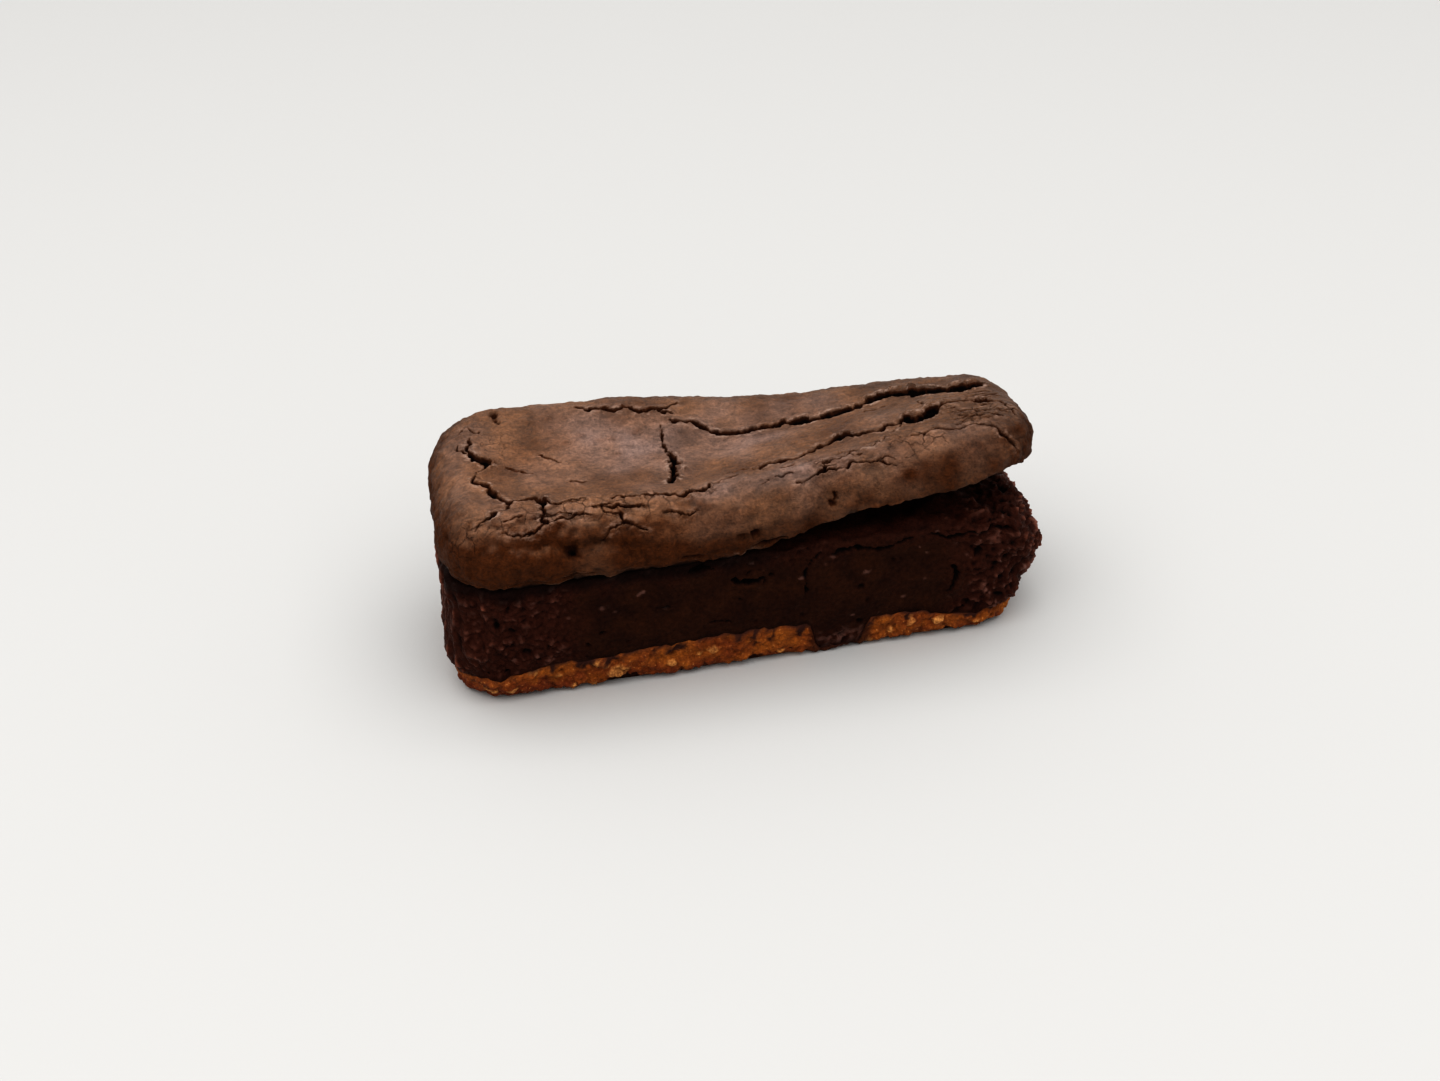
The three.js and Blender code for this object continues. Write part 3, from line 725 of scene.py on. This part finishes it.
# %% Grains at the left, crags at the right, and a dense wall with pits between them
GRAIN = 1.2
warp = 0.5 * np.stack([field(1.3, seed) for seed in (37, 38, 39)], -1)
nearest, number = grains(places + warp, GRAIN, 23)
granular = 0.75 * (0.6 - nearest / GRAIN) + 0.4 * (number - 0.5) + 0.25 * field(0.6, 24)
granular = granular - 0.9 * hollows(places + warp, 2.2, 0.6, 0.35, 0.85, 25)
drips = 0.5 * lumps(x, y, z / 5, 1.4, 79) + 0.25 * lumps(x, y, z / 2, 0.7, 80)
granular = blend(granular, drips + 0.35 * granular, smooth(-normals[:, 0], 0.45, 0.85))
fold = 1 - smooth(np.abs(lumps(x / 1.8, y / 1.8, z, 1.4, 26)), 0, 0.4)
ridges = 0.55 * (fold - 0.4) + 0.3 * field(1.1, 27)
craggy = ridges + 0.4 * granular + 0.3 * field(0.6, 28)
craggy = craggy - 0.9 * hollows(places + warp, 2.3, 0.7, 0.35, 0.95, 29)
dense = 0.07 * lumps(x, y, z / 2.5, 1.1, 30) + 0.05 * field(0.6, 31)
dense = dense - 0.9 * hollows(places + warp, 2.8, 0.5, 0.2, 0.75, 32)
relief = blend(dense, blend(granular, craggy, right), rough)
open_top = smooth(crumb_w, 0, 1) * right
shreds = 0.5 * smooth(crumb_w, 0, 1) * field(2.0, 33) + 0.9 * open_top * craggy
relief = blend(shreds, relief, side)
print("relief of the crumb, mm:", round(float(relief.min()), 2), "to", round(float(relief.max()), 2))

# %% Tones of the crumb: painted shade in the pits and under the cap's lip, painted light on the crests, flecks of biscuit and painted glints
side = np.maximum(side, open_top)
# painted shade in the pits of the relief
pit = smooth(-relief, 0.1, 0.8)
# painted shadow of the cap's lip along the top front of the crumb
pit = np.maximum(pit, 0.75 * smooth(z + 0.9 * field(2.2, 87), 21, 23.5) * smooth(-x, -12, 8))
# painted light on the crests of the relief
crest = smooth(relief, 0.2, 0.6) * np.maximum(rough, 0.15)
ends = smooth(np.abs(normals[:, 0]), 0.3, 0.85) * side
nearest, number = grains(places * (0.6, 1, 1.2) + warp, 2.0, 35)
speck = smooth(0.45 - nearest + 0.45 * field(0.6, 36), 0, 0.4) * smooth(number, 0.75, 1) * side
# painted glints on the torn crumb, which join the flecks below
glint = smooth(field(0.7, 82), 0.25, 0.6) * smooth(relief, 0.0, 0.35) * rough * side
glint = glint * smooth(field(3.0, 83) + 0.4 * right, -0.4, 0.5)
speck = np.maximum(0.8 * speck, blend(0.7, 1.0, right) * glint)
speck = np.maximum(speck, 0.75 * run * smooth(field(0.8, 84), 0.0, 0.4))

# %% Tears and hollows in the crumb's front: (x, z, width) along each
TEARS = [[(11.0, 21.6, .4), (12.8, 22.1, .7), (15.3, 22.6, .9), (18.1, 21.7, .7), (20.8, 21.2, .6),
          (25.9, 23.0, .3)],
         [(9.2, 22.6, .3), (7.8, 21.6, .6), (6.7, 19.3, .5), (6.9, 17.0, .3), (7.2, 15.2, .8),
          (7.2, 13.6, .2)],
         [(29.0, 22.8, .4), (33.0, 21.3, .8), (38.0, 22.2, .5), (43.0, 21.4, .7)],
         [(-6.5, 19.7, .3), (-3.4, 18.6, 1.6), (-1.6, 18.6, 1.2), (0.5, 18.9, .3)],
         [(-13.2, 22.6, .3), (-11.5, 23.0, 1.4), (-9.0, 22.4, .5)],
         [(33.4, 15.4, .4), (34.0, 13.8, 1.1), (33.5, 11.6, .8), (32.6, 10.2, .3)],
         [(-19.0, 16.2, .2), (-17.5, 16.0, .5), (-16.0, 16.2, .2)],
         [(-9.5, 11.0, .2), (-7.8, 11.2, .5), (-6.0, 11.0, .2)]]
crumb_tree = BVHTree.FromPolygons([v.co[:] for v in crumb.data.vertices],
                                  [p.vertices[:] for p in crumb.data.polygons])
ragged = 0.25 * field(0.9, 34)
for index, tear in enumerate(TEARS):
    points, half = lay_crack(tear, crumb_tree, 80 + 5 * index, down=(0, 1, 0))
    distance, width, _ = near_crack(places, points, half)
    distance = distance + ragged
    cut = (0.3 + 1.2 * width) * np.maximum(0, 1 - (distance / np.maximum(width, 0.1)) ** 2)
    relief = relief - cut + 0.25 * bump(distance, width + 0.4, 0.4) * np.minimum(1, 2 * width)
    # painted shade in the tears
    pit = np.maximum(pit, smooth(cut, 0.05, 0.5))

write_mesh(crumb, places + relief[:, None] * normals)
paint(crumb, pit=pit, rough=rough, crest=np.clip(crest, 0, 1), ends=ends, speck=speck)
print(len(TEARS), "tears")

# %% [markdown]
# ## The biscuit base
#
# Crushed biscuit, pressed and baked: rounded grains of one or two millimetres in butter, golden where a
# grain broke, with painted shade between them and in its hollows. Its lower edge is ragged and browner,
# because crumbs stay behind in the tin, and cocoa crumb has smeared over its top edge.

# %% The base's box, refined at the sides
base_box = grid_box((104, 38, 7))
refine(base_box, base_point, lambda p, w: np.abs(w) < FLAT)
refine(base_box, base_point, lambda p, w: (np.abs(w) < FLAT) & ((p[:, 1] < 4) | (np.abs(p[:, 0]) > 40)))
base_w = carry(base_box, base_point)
base = to_object("biscuit_crumb", base_box)
report(base)

# %% Grains of the base
BISCUIT_GRAIN = 1.7
places, normals, field = read_mesh(base)
x, y, z = places.T
side = 1 - smooth(np.abs(base_w), 0.92, FLAT)
warp = 0.6 * np.stack([field(1.2, seed) for seed in (61, 62, 63)], -1)
nearest, number = grains(places + warp, BISCUIT_GRAIN, 54)
relief = 0.5 * (0.6 - nearest / 1.6) + 0.5 * (number - 0.5)
relief = relief + 0.18 * field(0.6, 55) + 0.25 * field(4, 56)
dimples = hollows(places, 2.6, 0.4, 0.3, 0.8, 57)
relief = relief - 0.8 * dimples

# %% Bites out of its foot and pale broken grains on its front: (x, z, radius) of each
BITES = [(-24.5, 0.4, 2.6), (-21.5, 0.2, 1.5), (-1.5, 0.6, 1.9), (-37, 0.2, 1.1), (-12, 0.1, 1.3),
         (24, 0.3, 1.2), (34, 0.4, 1.3), (42, 0.6, 1.1)]
CHIPS = [(-25.3, 3.1, 1.5), (-27.4, 4.7, 0.7), (-35.5, 3.6, 0.6), (-33.0, 1.2, 0.5), (-16.0, 3.2, 0.8),
         (-29.5, 1.0, 0.5), (-9.0, 4.6, 0.7), (3.0, 2.0, 0.6), (23.0, 2.6, 0.6), (39.0, 2.0, 0.6)]
BITE_DEPTH, CHIP_HEIGHT = 1.7, 0.4
ragged = 0.5 * field(0.9, 58)
for bx, bz, radius in BITES:
    away = np.hypot((x - bx) / 1.4, (z - bz) * 1.6) + ragged
    bite = np.sqrt(np.maximum(0, 1 - (away / radius) ** 2)) * (y < 0)
    relief = relief - BITE_DEPTH * bite
    # the bites also join the painted shade of the hollows
    dimples = np.maximum(dimples, bite)
chips = np.zeros(len(places))
ragged = 0.35 * field(0.8, 65)
for cx, cz, radius in CHIPS:
    away = np.hypot((x - cx) / 1.5, z - cz) + ragged
    chip = smooth(radius - away, 0, 0.35) * (y < 0)
    chips = np.maximum(chips, chip)
    relief = relief + CHIP_HEIGHT * chip
moved = places + (relief * side)[:, None] * normals
moved[:, 2] = np.maximum(moved[:, 2], 0)
write_mesh(base, moved)
print(len(BITES), "bites and", len(CHIPS), "broken grains")

# %% Tones of the base: browned at the foot and the ends, smeared with cocoa at the top and round the run
RUN_MIDDLE, RUN_REACH = 14, 6.5
browned = smooth(-base_w + 0.9 * field(2.0, 59) + 0.7 * smooth(-x, 30, 44)
                 + 0.5 * smooth(x, 32, 42) - 0.4 * smooth(x, -14, 0), 0, 0.9)
smear = smooth(base_w + 0.8 * field(1.6, 60) + 0.5 * field(0.6, 64), 0.65, 1.25)
smear = smear + 0.8 * smooth(RUN_REACH - np.abs(x - RUN_MIDDLE), 0, 2)
# painted shade in the hollows, the bites and between the grains
paint(base, chip=np.maximum(chips, smooth(number, 0.955, 0.975)), browned=browned,
      dimple=np.clip(dimples + 0.35 * smooth(nearest / BISCUIT_GRAIN, 0.5, 0.9), 0, 1),
      smear=np.clip(smear, 0, 1) * (y < 16))

# %% [markdown]
# ## Materials
#
# Colours are given as sRGB hex values, as a maker would pick them from a sample, and turned to linear
# light by one function. Pattern sizes are real sizes in millimetres: a noise scale is one over the
# size in metres, because the Object coordinates are metres. One function adds a node.

# %% Helpers for materials
def linear(hex_code):
    """An sRGB hex colour as linear RGBA."""
    channels = [int(hex_code[i:i + 2], 16) / 255 for i in (1, 3, 5)]
    return tuple(c / 12.92 if c <= 0.04045 else ((c + 0.055) / 1.055) ** 2.4 for c in channels) + (1.0,)


def add(material, kind, inputs=None, **settings):
    """Adds a node, whose inputs may be numbers, hex colours, sockets, or other nodes.

    A node gives its first output in use. "From" and "To" stand for both ends of a range.
    """
    made = material.node_tree.nodes.new("ShaderNode" + kind)
    for name, value in settings.items():
        setattr(made, name, value)
    for name, value in (inputs or {}).items():
        if isinstance(value, str):
            value = linear(value)
        if isinstance(value, bpy.types.Node):
            value = next(socket for socket in value.outputs if socket.enabled)
        if isinstance(value, bpy.types.NodeSocket):
            material.node_tree.links.new(value, made.inputs[name])
        elif name in ("From", "To"):
            made.inputs[name + " Min"].default_value, made.inputs[name + " Max"].default_value = value
        else:
            made.inputs[name].default_value = value
    return made


def empty_material(name):
    material = bpy.data.materials.new(name)
    material.use_nodes = True
    material.node_tree.nodes.clear()
    return material


def per_metre(size_mm):
    return 1000 / size_mm


FACTOR, A, B, FLOAT_A, FLOAT_B = 0, 6, 7, 2, 3    # inputs of a Mix node, of colours and of floats
# CRUMB_DEEP is painted shade: near black in deep cracks, holes, pits and under the cap
CRUMB_DEEP, CRUMB_TORN = "#0E0504", "#391C13"     # the deep holes and the torn faces of the crumb
BUTTERY_IOR = 1.45                                # fat and sugar, in all three materials

# %% [markdown]
# ### Baked cocoa crust
#
# A thin dry sugar skin over cocoa crumb. It scatters light softly, and its gloss is satin where the
# sugar has bloomed and dull where it is toasted. Its pale bloom is partly a painted sheen and its walls
# carry painted shade. Cracks show the moist crumb on their walls, with painted near-black shade in their
# depths, in the holes and under the cap.

# %% Baked cocoa crust
# CRUST_BLOOM: pale dried sugar, partly a painted sheen
CRUST_DARK, CRUST_LIGHT, CRUST_BLOOM = "#67462F", "#8A6245", "#9A7F74"
# CRUST_TOAST: the redder rim, with painted shade on the walls and under the lip
CRUST_TOAST, CRUST_FLAKE, CRACK_WALL = "#4E2A11", "#A88E7F", "#442717"


def baked_cocoa_crust():
    m = empty_material("baked_cocoa_crust")
    where = add(m, "TexCoord").outputs["Object"]
    cut, flakes, bloom, craze, toast, torn, crease, shade = (
        add(m, "Attribute", attribute_name=name).outputs["Fac"]
        for name in ("cut", "flakes", "bloom", "craze", "toast", "torn", "crease", "shade"))
    patches = add(m, "TexNoise", {"Vector": where, "Scale": per_metre(7), "Detail": 3})
    along = add(m, "VectorMath", {0: where, 1: (0.65, 1, 1)}, operation="MULTIPLY")
    mottle = add(m, "TexNoise", {"Vector": along, "Scale": per_metre(1.2), "Detail": 6, "Roughness": 0.75})
    specks = add(m, "TexNoise", {"Vector": where, "Scale": per_metre(0.55), "Detail": 4, "Roughness": 0.7})

    # tone: brown skin, greyer where it bloomed with a painted sheen, darker and redder where it toasted,
    # with painted shade on the walls
    patch = add(m, "MapRange", {"Value": patches, "From": (0.35, 0.65)})
    skin = add(m, "Mix", {FACTOR: patch, A: CRUST_DARK, B: CRUST_LIGHT}, data_type="RGBA")
    bloomed = add(m, "Mix", {FACTOR: bloom, A: skin, B: CRUST_BLOOM}, data_type="RGBA")
    toasted = add(m, "Mix", {FACTOR: toast, A: bloomed, B: CRUST_TOAST}, data_type="RGBA")
    blotch = add(m, "MapRange", {"Value": mottle, "From": (0.34, 0.66), "To": (0.62, 1.14)})
    speckled = add(m, "MapRange", {"Value": specks, "From": (0.34, 0.66), "To": (0.72, 1.28)})
    tone = add(m, "Math", {0: blotch, 1: speckled}, operation="MULTIPLY")
    # painted shade in the creases
    worn = add(m, "MapRange", {"Value": crease, "To": (1.04, 0.66)})
    # painted shade on the crown's far edge and right end, and painted light on the left basin
    burnt = add(m, "MapRange", {"Value": shade, "From": (-1, 1), "To": (1.3, 0.72)})
    lows = add(m, "Math", {0: worn, 1: burnt}, operation="MULTIPLY")
    tones = add(m, "Math", {0: tone, 1: lows}, operation="MULTIPLY")
    toned = add(m, "VectorMath", {0: toasted, "Scale": tones}, operation="SCALE")

    # pale flakes of sugar beside the cracks and along the lip, partly painted glints
    flake_spots = add(m, "MapRange", {"Value": mottle, "From": (0.49, 0.6)})
    flake = add(m, "Math", {0: flakes, 1: flake_spots}, operation="MULTIPLY")
    flaked = add(m, "Mix", {FACTOR: flake, A: toned, B: CRUST_FLAKE}, data_type="RGBA")

    # hairline crazing: the borders of cells about three millimetres wide, bent by noise
    bend = add(m, "VectorMath", {0: mottle.outputs["Color"], "Scale": 1.6 * MM}, operation="SCALE")
    bent = add(m, "VectorMath", {0: where, 1: bend}, operation="ADD")
    cells = add(m, "TexVoronoi", {"Vector": bent, "Scale": per_metre(2.8)}, feature="DISTANCE_TO_EDGE")
    border = add(m, "MapRange", {"Value": cells, "From": (0, 0.055), "To": (1.0, 0.0)})
    broken = add(m, "MapRange", {"Value": patches, "From": (0.47, 0.56)})
    net = add(m, "Math", {0: border, 1: broken}, operation="MULTIPLY")
    hairlines = add(m, "Math", {0: net, 1: craze}, operation="MULTIPLY")

    # open crumb on the walls of the cracks, and painted near-black shade in their depths, in the holes and
    # slits and all over the torn underside
    walls = add(m, "MapRange", {"Value": cut, "From": (0.04, 0.35)})
    depths = add(m, "MapRange", {"Value": cut, "From": (0.36, 0.9)})
    lined = add(m, "Math", {0: walls, 1: hairlines}, operation="MAXIMUM")
    dark = add(m, "Math", {0: lined, 1: torn}, operation="MAXIMUM")
    crumbly = add(m, "VectorMath", {0: linear(CRACK_WALL)[:3], "Scale": tone}, operation="SCALE")
    walled = add(m, "Mix", {FACTOR: dark, A: flaked, B: crumbly}, data_type="RGBA")
    deep = add(m, "Math", {0: depths, 1: torn}, operation="MAXIMUM")
    colour = add(m, "Mix", {FACTOR: deep, A: walled, B: CRUMB_DEEP}, data_type="RGBA")

    # satin where it bloomed, dull where it toasted, and nearly no gloss in open crumb
    gloss = add(m, "MapRange", {"Value": bloom, "To": (0.55, 0.42)})
    uneven = add(m, "MapRange", {"Value": mottle, "To": (-0.1, 0.12)})
    roughness = add(m, "Math", {0: gloss, 1: uneven}, operation="ADD")
    film = add(m, "MapRange", {"Value": toast, "To": (0.5, 0.12)})
    level = add(m, "Mix", {FACTOR: dark, FLOAT_A: film, FLOAT_B: 0.05})
    fine = add(m, "Bump", {"Height": specks, "Strength": 0.9, "Distance": 0.28 * MM})
    bumps = add(m, "Bump", {"Height": mottle, "Strength": 1.0, "Distance": 0.62 * MM, "Normal": fine})
    lines = add(m, "Bump", {"Height": hairlines, "Strength": 1.0, "Distance": 0.2 * MM, "Normal": bumps},
                invert=True)
    shader = add(m, "BsdfPrincipled", {"Base Color": colour, "IOR": BUTTERY_IOR, "Roughness": roughness,
                                       "Specular IOR Level": level, "Normal": lines})
    add(m, "OutputMaterial", {"Surface": shader})
    return m


# %% [markdown]
# ### Moist cocoa crumb
#
# Dense, fudgy crumb: very dark, with butter and sugar in it, so it is duller than chocolate and
# glossier than cake, and catches small glints on the corners of its grains. Some glints are painted into
# its colour with its flecks, and its crests carry painted light.

# %% Moist cocoa crumb
# CRUMB_CREST is painted light on the crests; CRUMB_FLECK is flecks of biscuit and sugar with painted glints
CRUMB_DARK, CRUMB_LIGHT, CRUMB_CREST, CRUMB_FLECK = "#28130A", "#341B0E", "#784430", "#7A5449"


def moist_cocoa_crumb():
    m = empty_material("moist_cocoa_crumb")
    where = add(m, "TexCoord").outputs["Object"]
    pit, rough, crest, speck, ends = (add(m, "Attribute", attribute_name=name).outputs["Fac"]
                                      for name in ("pit", "rough", "crest", "speck", "ends"))
    clouds = add(m, "TexNoise", {"Vector": where, "Scale": per_metre(5), "Detail": 4})
    grit = add(m, "TexNoise", {"Vector": where, "Scale": per_metre(0.8), "Detail": 4, "Roughness": 0.7})

    # dark where the tin pressed it, redder where it tore, with painted light on the crests, most at the
    # ends
    spread = add(m, "MapRange", {"Value": clouds, "From": (0.35, 0.65)})
    dense = add(m, "Mix", {FACTOR: spread, A: CRUMB_DARK, B: CRUMB_LIGHT}, data_type="RGBA")
    torn = add(m, "Mix", {FACTOR: rough, A: dense, B: CRUMB_TORN}, data_type="RGBA")
    dry = add(m, "MapRange", {"Value": ends, "To": (0.3, 1.0)})
    dried = add(m, "Math", {0: crest, 1: dry}, operation="MULTIPLY")
    lit = add(m, "Mix", {FACTOR: dried, A: torn, B: CRUMB_CREST}, data_type="RGBA")
    grainy = add(m, "MapRange", {"Value": grit, "From": (0.3, 0.7), "To": (0.65, 1.35)})
    toned = add(m, "VectorMath", {0: lit, "Scale": grainy}, operation="SCALE")

    # flecks of biscuit and sugar with painted glints, and painted shade in the pits and under the cap's lip
    patchy = add(m, "Math", {0: speck, 1: grainy}, operation="MULTIPLY")
    fleck = add(m, "Math", {0: patchy, 1: 0.6}, operation="MULTIPLY")
    flecked = add(m, "Mix", {FACTOR: fleck, A: toned, B: CRUMB_FLECK}, data_type="RGBA")
    colour = add(m, "Mix", {FACTOR: pit, A: flecked, B: CRUMB_DEEP}, data_type="RGBA")

    # a thin film of butter, which shines on crests and flecks
    roughness = add(m, "MapRange", {"Value": grit, "From": (0.3, 0.7), "To": (0.7, 0.42)})
    moist = add(m, "Math", {0: crest, 1: speck}, operation="MAXIMUM")
    film = add(m, "MapRange", {"Value": moist, "To": (0.07, 0.3)})
    bumps = add(m, "Bump", {"Height": grit, "Strength": 0.9, "Distance": 0.35 * MM})
    shader = add(m, "BsdfPrincipled", {"Base Color": colour, "IOR": BUTTERY_IOR, "Roughness": roughness,
                                       "Specular IOR Level": film, "Normal": bumps})
    add(m, "OutputMaterial", {"Surface": shader})
    return m


# %% [markdown]
# ### Baked biscuit crumb
#
# Ground wheat biscuit bound with butter and baked to a golden brown. Broken grains are pale, painted
# shade lies between them and in the hollows, a few painted glints catch the light, and nothing in it is
# glossy.

# %% Baked biscuit crumb
BISCUIT_DARK, BISCUIT_LIGHT, BISCUIT_PALE = "#793D18", "#975820", "#CE9558"
# BISCUIT_DEEP is painted shade in the hollows and between the grains
BISCUIT_BROWN, BISCUIT_DEEP = "#6F3518", "#34160B"


def baked_biscuit_crumb():
    m = empty_material("baked_biscuit_crumb")
    where = add(m, "TexCoord").outputs["Object"]
    chip, browned, dimple, smear = (add(m, "Attribute", attribute_name=name).outputs["Fac"]
                                    for name in ("chip", "browned", "dimple", "smear"))
    clouds = add(m, "TexNoise", {"Vector": where, "Scale": per_metre(5), "Detail": 3})
    grit = add(m, "TexNoise", {"Vector": where, "Scale": per_metre(0.5), "Detail": 4, "Roughness": 0.7})

    # golden, browner at the foot, with pale broken grains
    spread = add(m, "MapRange", {"Value": clouds, "From": (0.35, 0.65)})
    golden = add(m, "Mix", {FACTOR: spread, A: BISCUIT_DARK, B: BISCUIT_LIGHT}, data_type="RGBA")
    under = add(m, "Mix", {FACTOR: browned, A: golden, B: BISCUIT_BROWN}, data_type="RGBA")
    broken = add(m, "MapRange", {"Value": grit, "From": (0.35, 0.6), "To": (0.25, 0.75)})
    pale = add(m, "Math", {0: chip, 1: broken}, operation="MULTIPLY")
    mixed = add(m, "Mix", {FACTOR: pale, A: under, B: BISCUIT_PALE}, data_type="RGBA")
    spot = add(m, "MapRange", {"Value": grit, "From": (0.3, 0.7), "To": (0.6, 1.35)})
    toned = add(m, "VectorMath", {0: mixed, "Scale": spot}, operation="SCALE")
    glint = add(m, "MapRange", {"Value": grit, "From": (0.62, 0.68), "To": (0, 0.75)})
    glinting = add(m, "Mix", {FACTOR: glint, A: toned, B: BISCUIT_PALE}, data_type="RGBA")

    # painted shade between the grains, in the hollows and in the bites, and cocoa crumb smeared over the
    # top edge
    dimpled = add(m, "Mix", {FACTOR: dimple, A: glinting, B: BISCUIT_DEEP}, data_type="RGBA")
    colour = add(m, "Mix", {FACTOR: smear, A: dimpled, B: CRUMB_TORN}, data_type="RGBA")
    bumps = add(m, "Bump", {"Height": grit, "Strength": 0.9, "Distance": 0.3 * MM})
    shader = add(m, "BsdfPrincipled", {"Base Color": colour, "IOR": BUTTERY_IOR, "Roughness": 0.65,
                                       "Specular IOR Level": 0.2, "Normal": bumps})
    add(m, "OutputMaterial", {"Surface": shader})
    return m


# %% Dress the pieces and tie them to the frame
for piece, node, slot, material in ((cap, "risen_cap", "crust", baked_cocoa_crust()),
                                    (crumb, "brownie_crumb", "crumb", moist_cocoa_crumb()),
                                    (base, "biscuit_base", "biscuit", baked_biscuit_crumb())):
    piece.data.materials.append(material)
    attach(piece, "root")
    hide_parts(node)
    print(piece.name, "stands for", node)

# %% [markdown]
# ## Floor, light and camera
#
# The bar stands on a plain pale floor. A wide soft light hangs above and a little in front of
# it, which gives the crown its satin sheen, and a faint even light fills the rest.

# %% Floor
FLOOR_SIZE = 6.0
bm = bmesh.new()
bmesh.ops.create_grid(bm, x_segments=1, y_segments=1, size=FLOOR_SIZE / 2)
floor = to_object("floor", bm)
floor.location.z = -0.0002
pale = empty_material("pale_matt_floor")
paper = add(pale, "BsdfPrincipled", {"Base Color": "#BDBCBA", "Roughness": 0.9})
add(pale, "OutputMaterial", {"Surface": paper})
floor.data.materials.append(pale)

# %% Lights
def soft_light(name, place, size, watts):
    data = bpy.data.lights.new(name, "AREA")
    data.shape, data.size, data.size_y, data.energy = "RECTANGLE", size[0], size[1], watts
    lamp = bpy.data.objects.new(name, data)
    lamp.location = place
    lamp.rotation_euler = (Vector((0, 0, 0.02)) - Vector(place)).to_track_quat("-Z", "Y").to_euler()
    bpy.context.collection.objects.link(lamp)


soft_light("overhead", (-0.1, -0.3, 1.15), (2.1, 1.9), 19)
world = bpy.data.worlds.new("even_light")
world.use_nodes = True
sky = world.node_tree.nodes["Background"].inputs
sky["Color"].default_value, sky["Strength"].default_value = linear("#F6F6F6"), 0.58
scene = bpy.context.scene
scene.world = world
scene.view_settings.view_transform, scene.view_settings.look = "Standard", "High Contrast"

# %% Camera
AZIMUTH, ELEVATION, ROLL = math.radians(-14), math.radians(31.5), math.radians(-1)
DISTANCE = 364 * MM
AIM = Vector((-MIDDLE[0], -MIDDLE[1], 15)) * MM
SLIDE_RIGHT, SLIDE_UP = 0.8 * MM, 0.2 * MM
FOCAL_PIXELS, IMAGE_WIDTH, SENSOR = 2065, 1440, 36

back = Vector((math.sin(AZIMUTH) * math.cos(ELEVATION), -math.cos(AZIMUTH) * math.cos(ELEVATION),
               math.sin(ELEVATION)))
right = Vector((math.cos(AZIMUTH), math.sin(AZIMUTH), 0))
up = back.cross(right)
right_rolled = math.cos(ROLL) * right + math.sin(ROLL) * up
up_rolled = math.cos(ROLL) * up - math.sin(ROLL) * right
eye = AIM + DISTANCE * back - SLIDE_RIGHT * right_rolled - SLIDE_UP * up_rolled

camera_data = bpy.data.cameras.new("camera")
camera_data.sensor_width = SENSOR
camera_data.lens = FOCAL_PIXELS / IMAGE_WIDTH * SENSOR
camera = bpy.data.objects.new("camera", camera_data)
turned = Matrix((right_rolled, up_rolled, back)).transposed()
camera.matrix_world = Matrix.Translation(eye) @ turned.to_4x4()
bpy.context.collection.objects.link(camera)
scene.camera = camera
print("lens, mm:", round(camera_data.lens, 1))
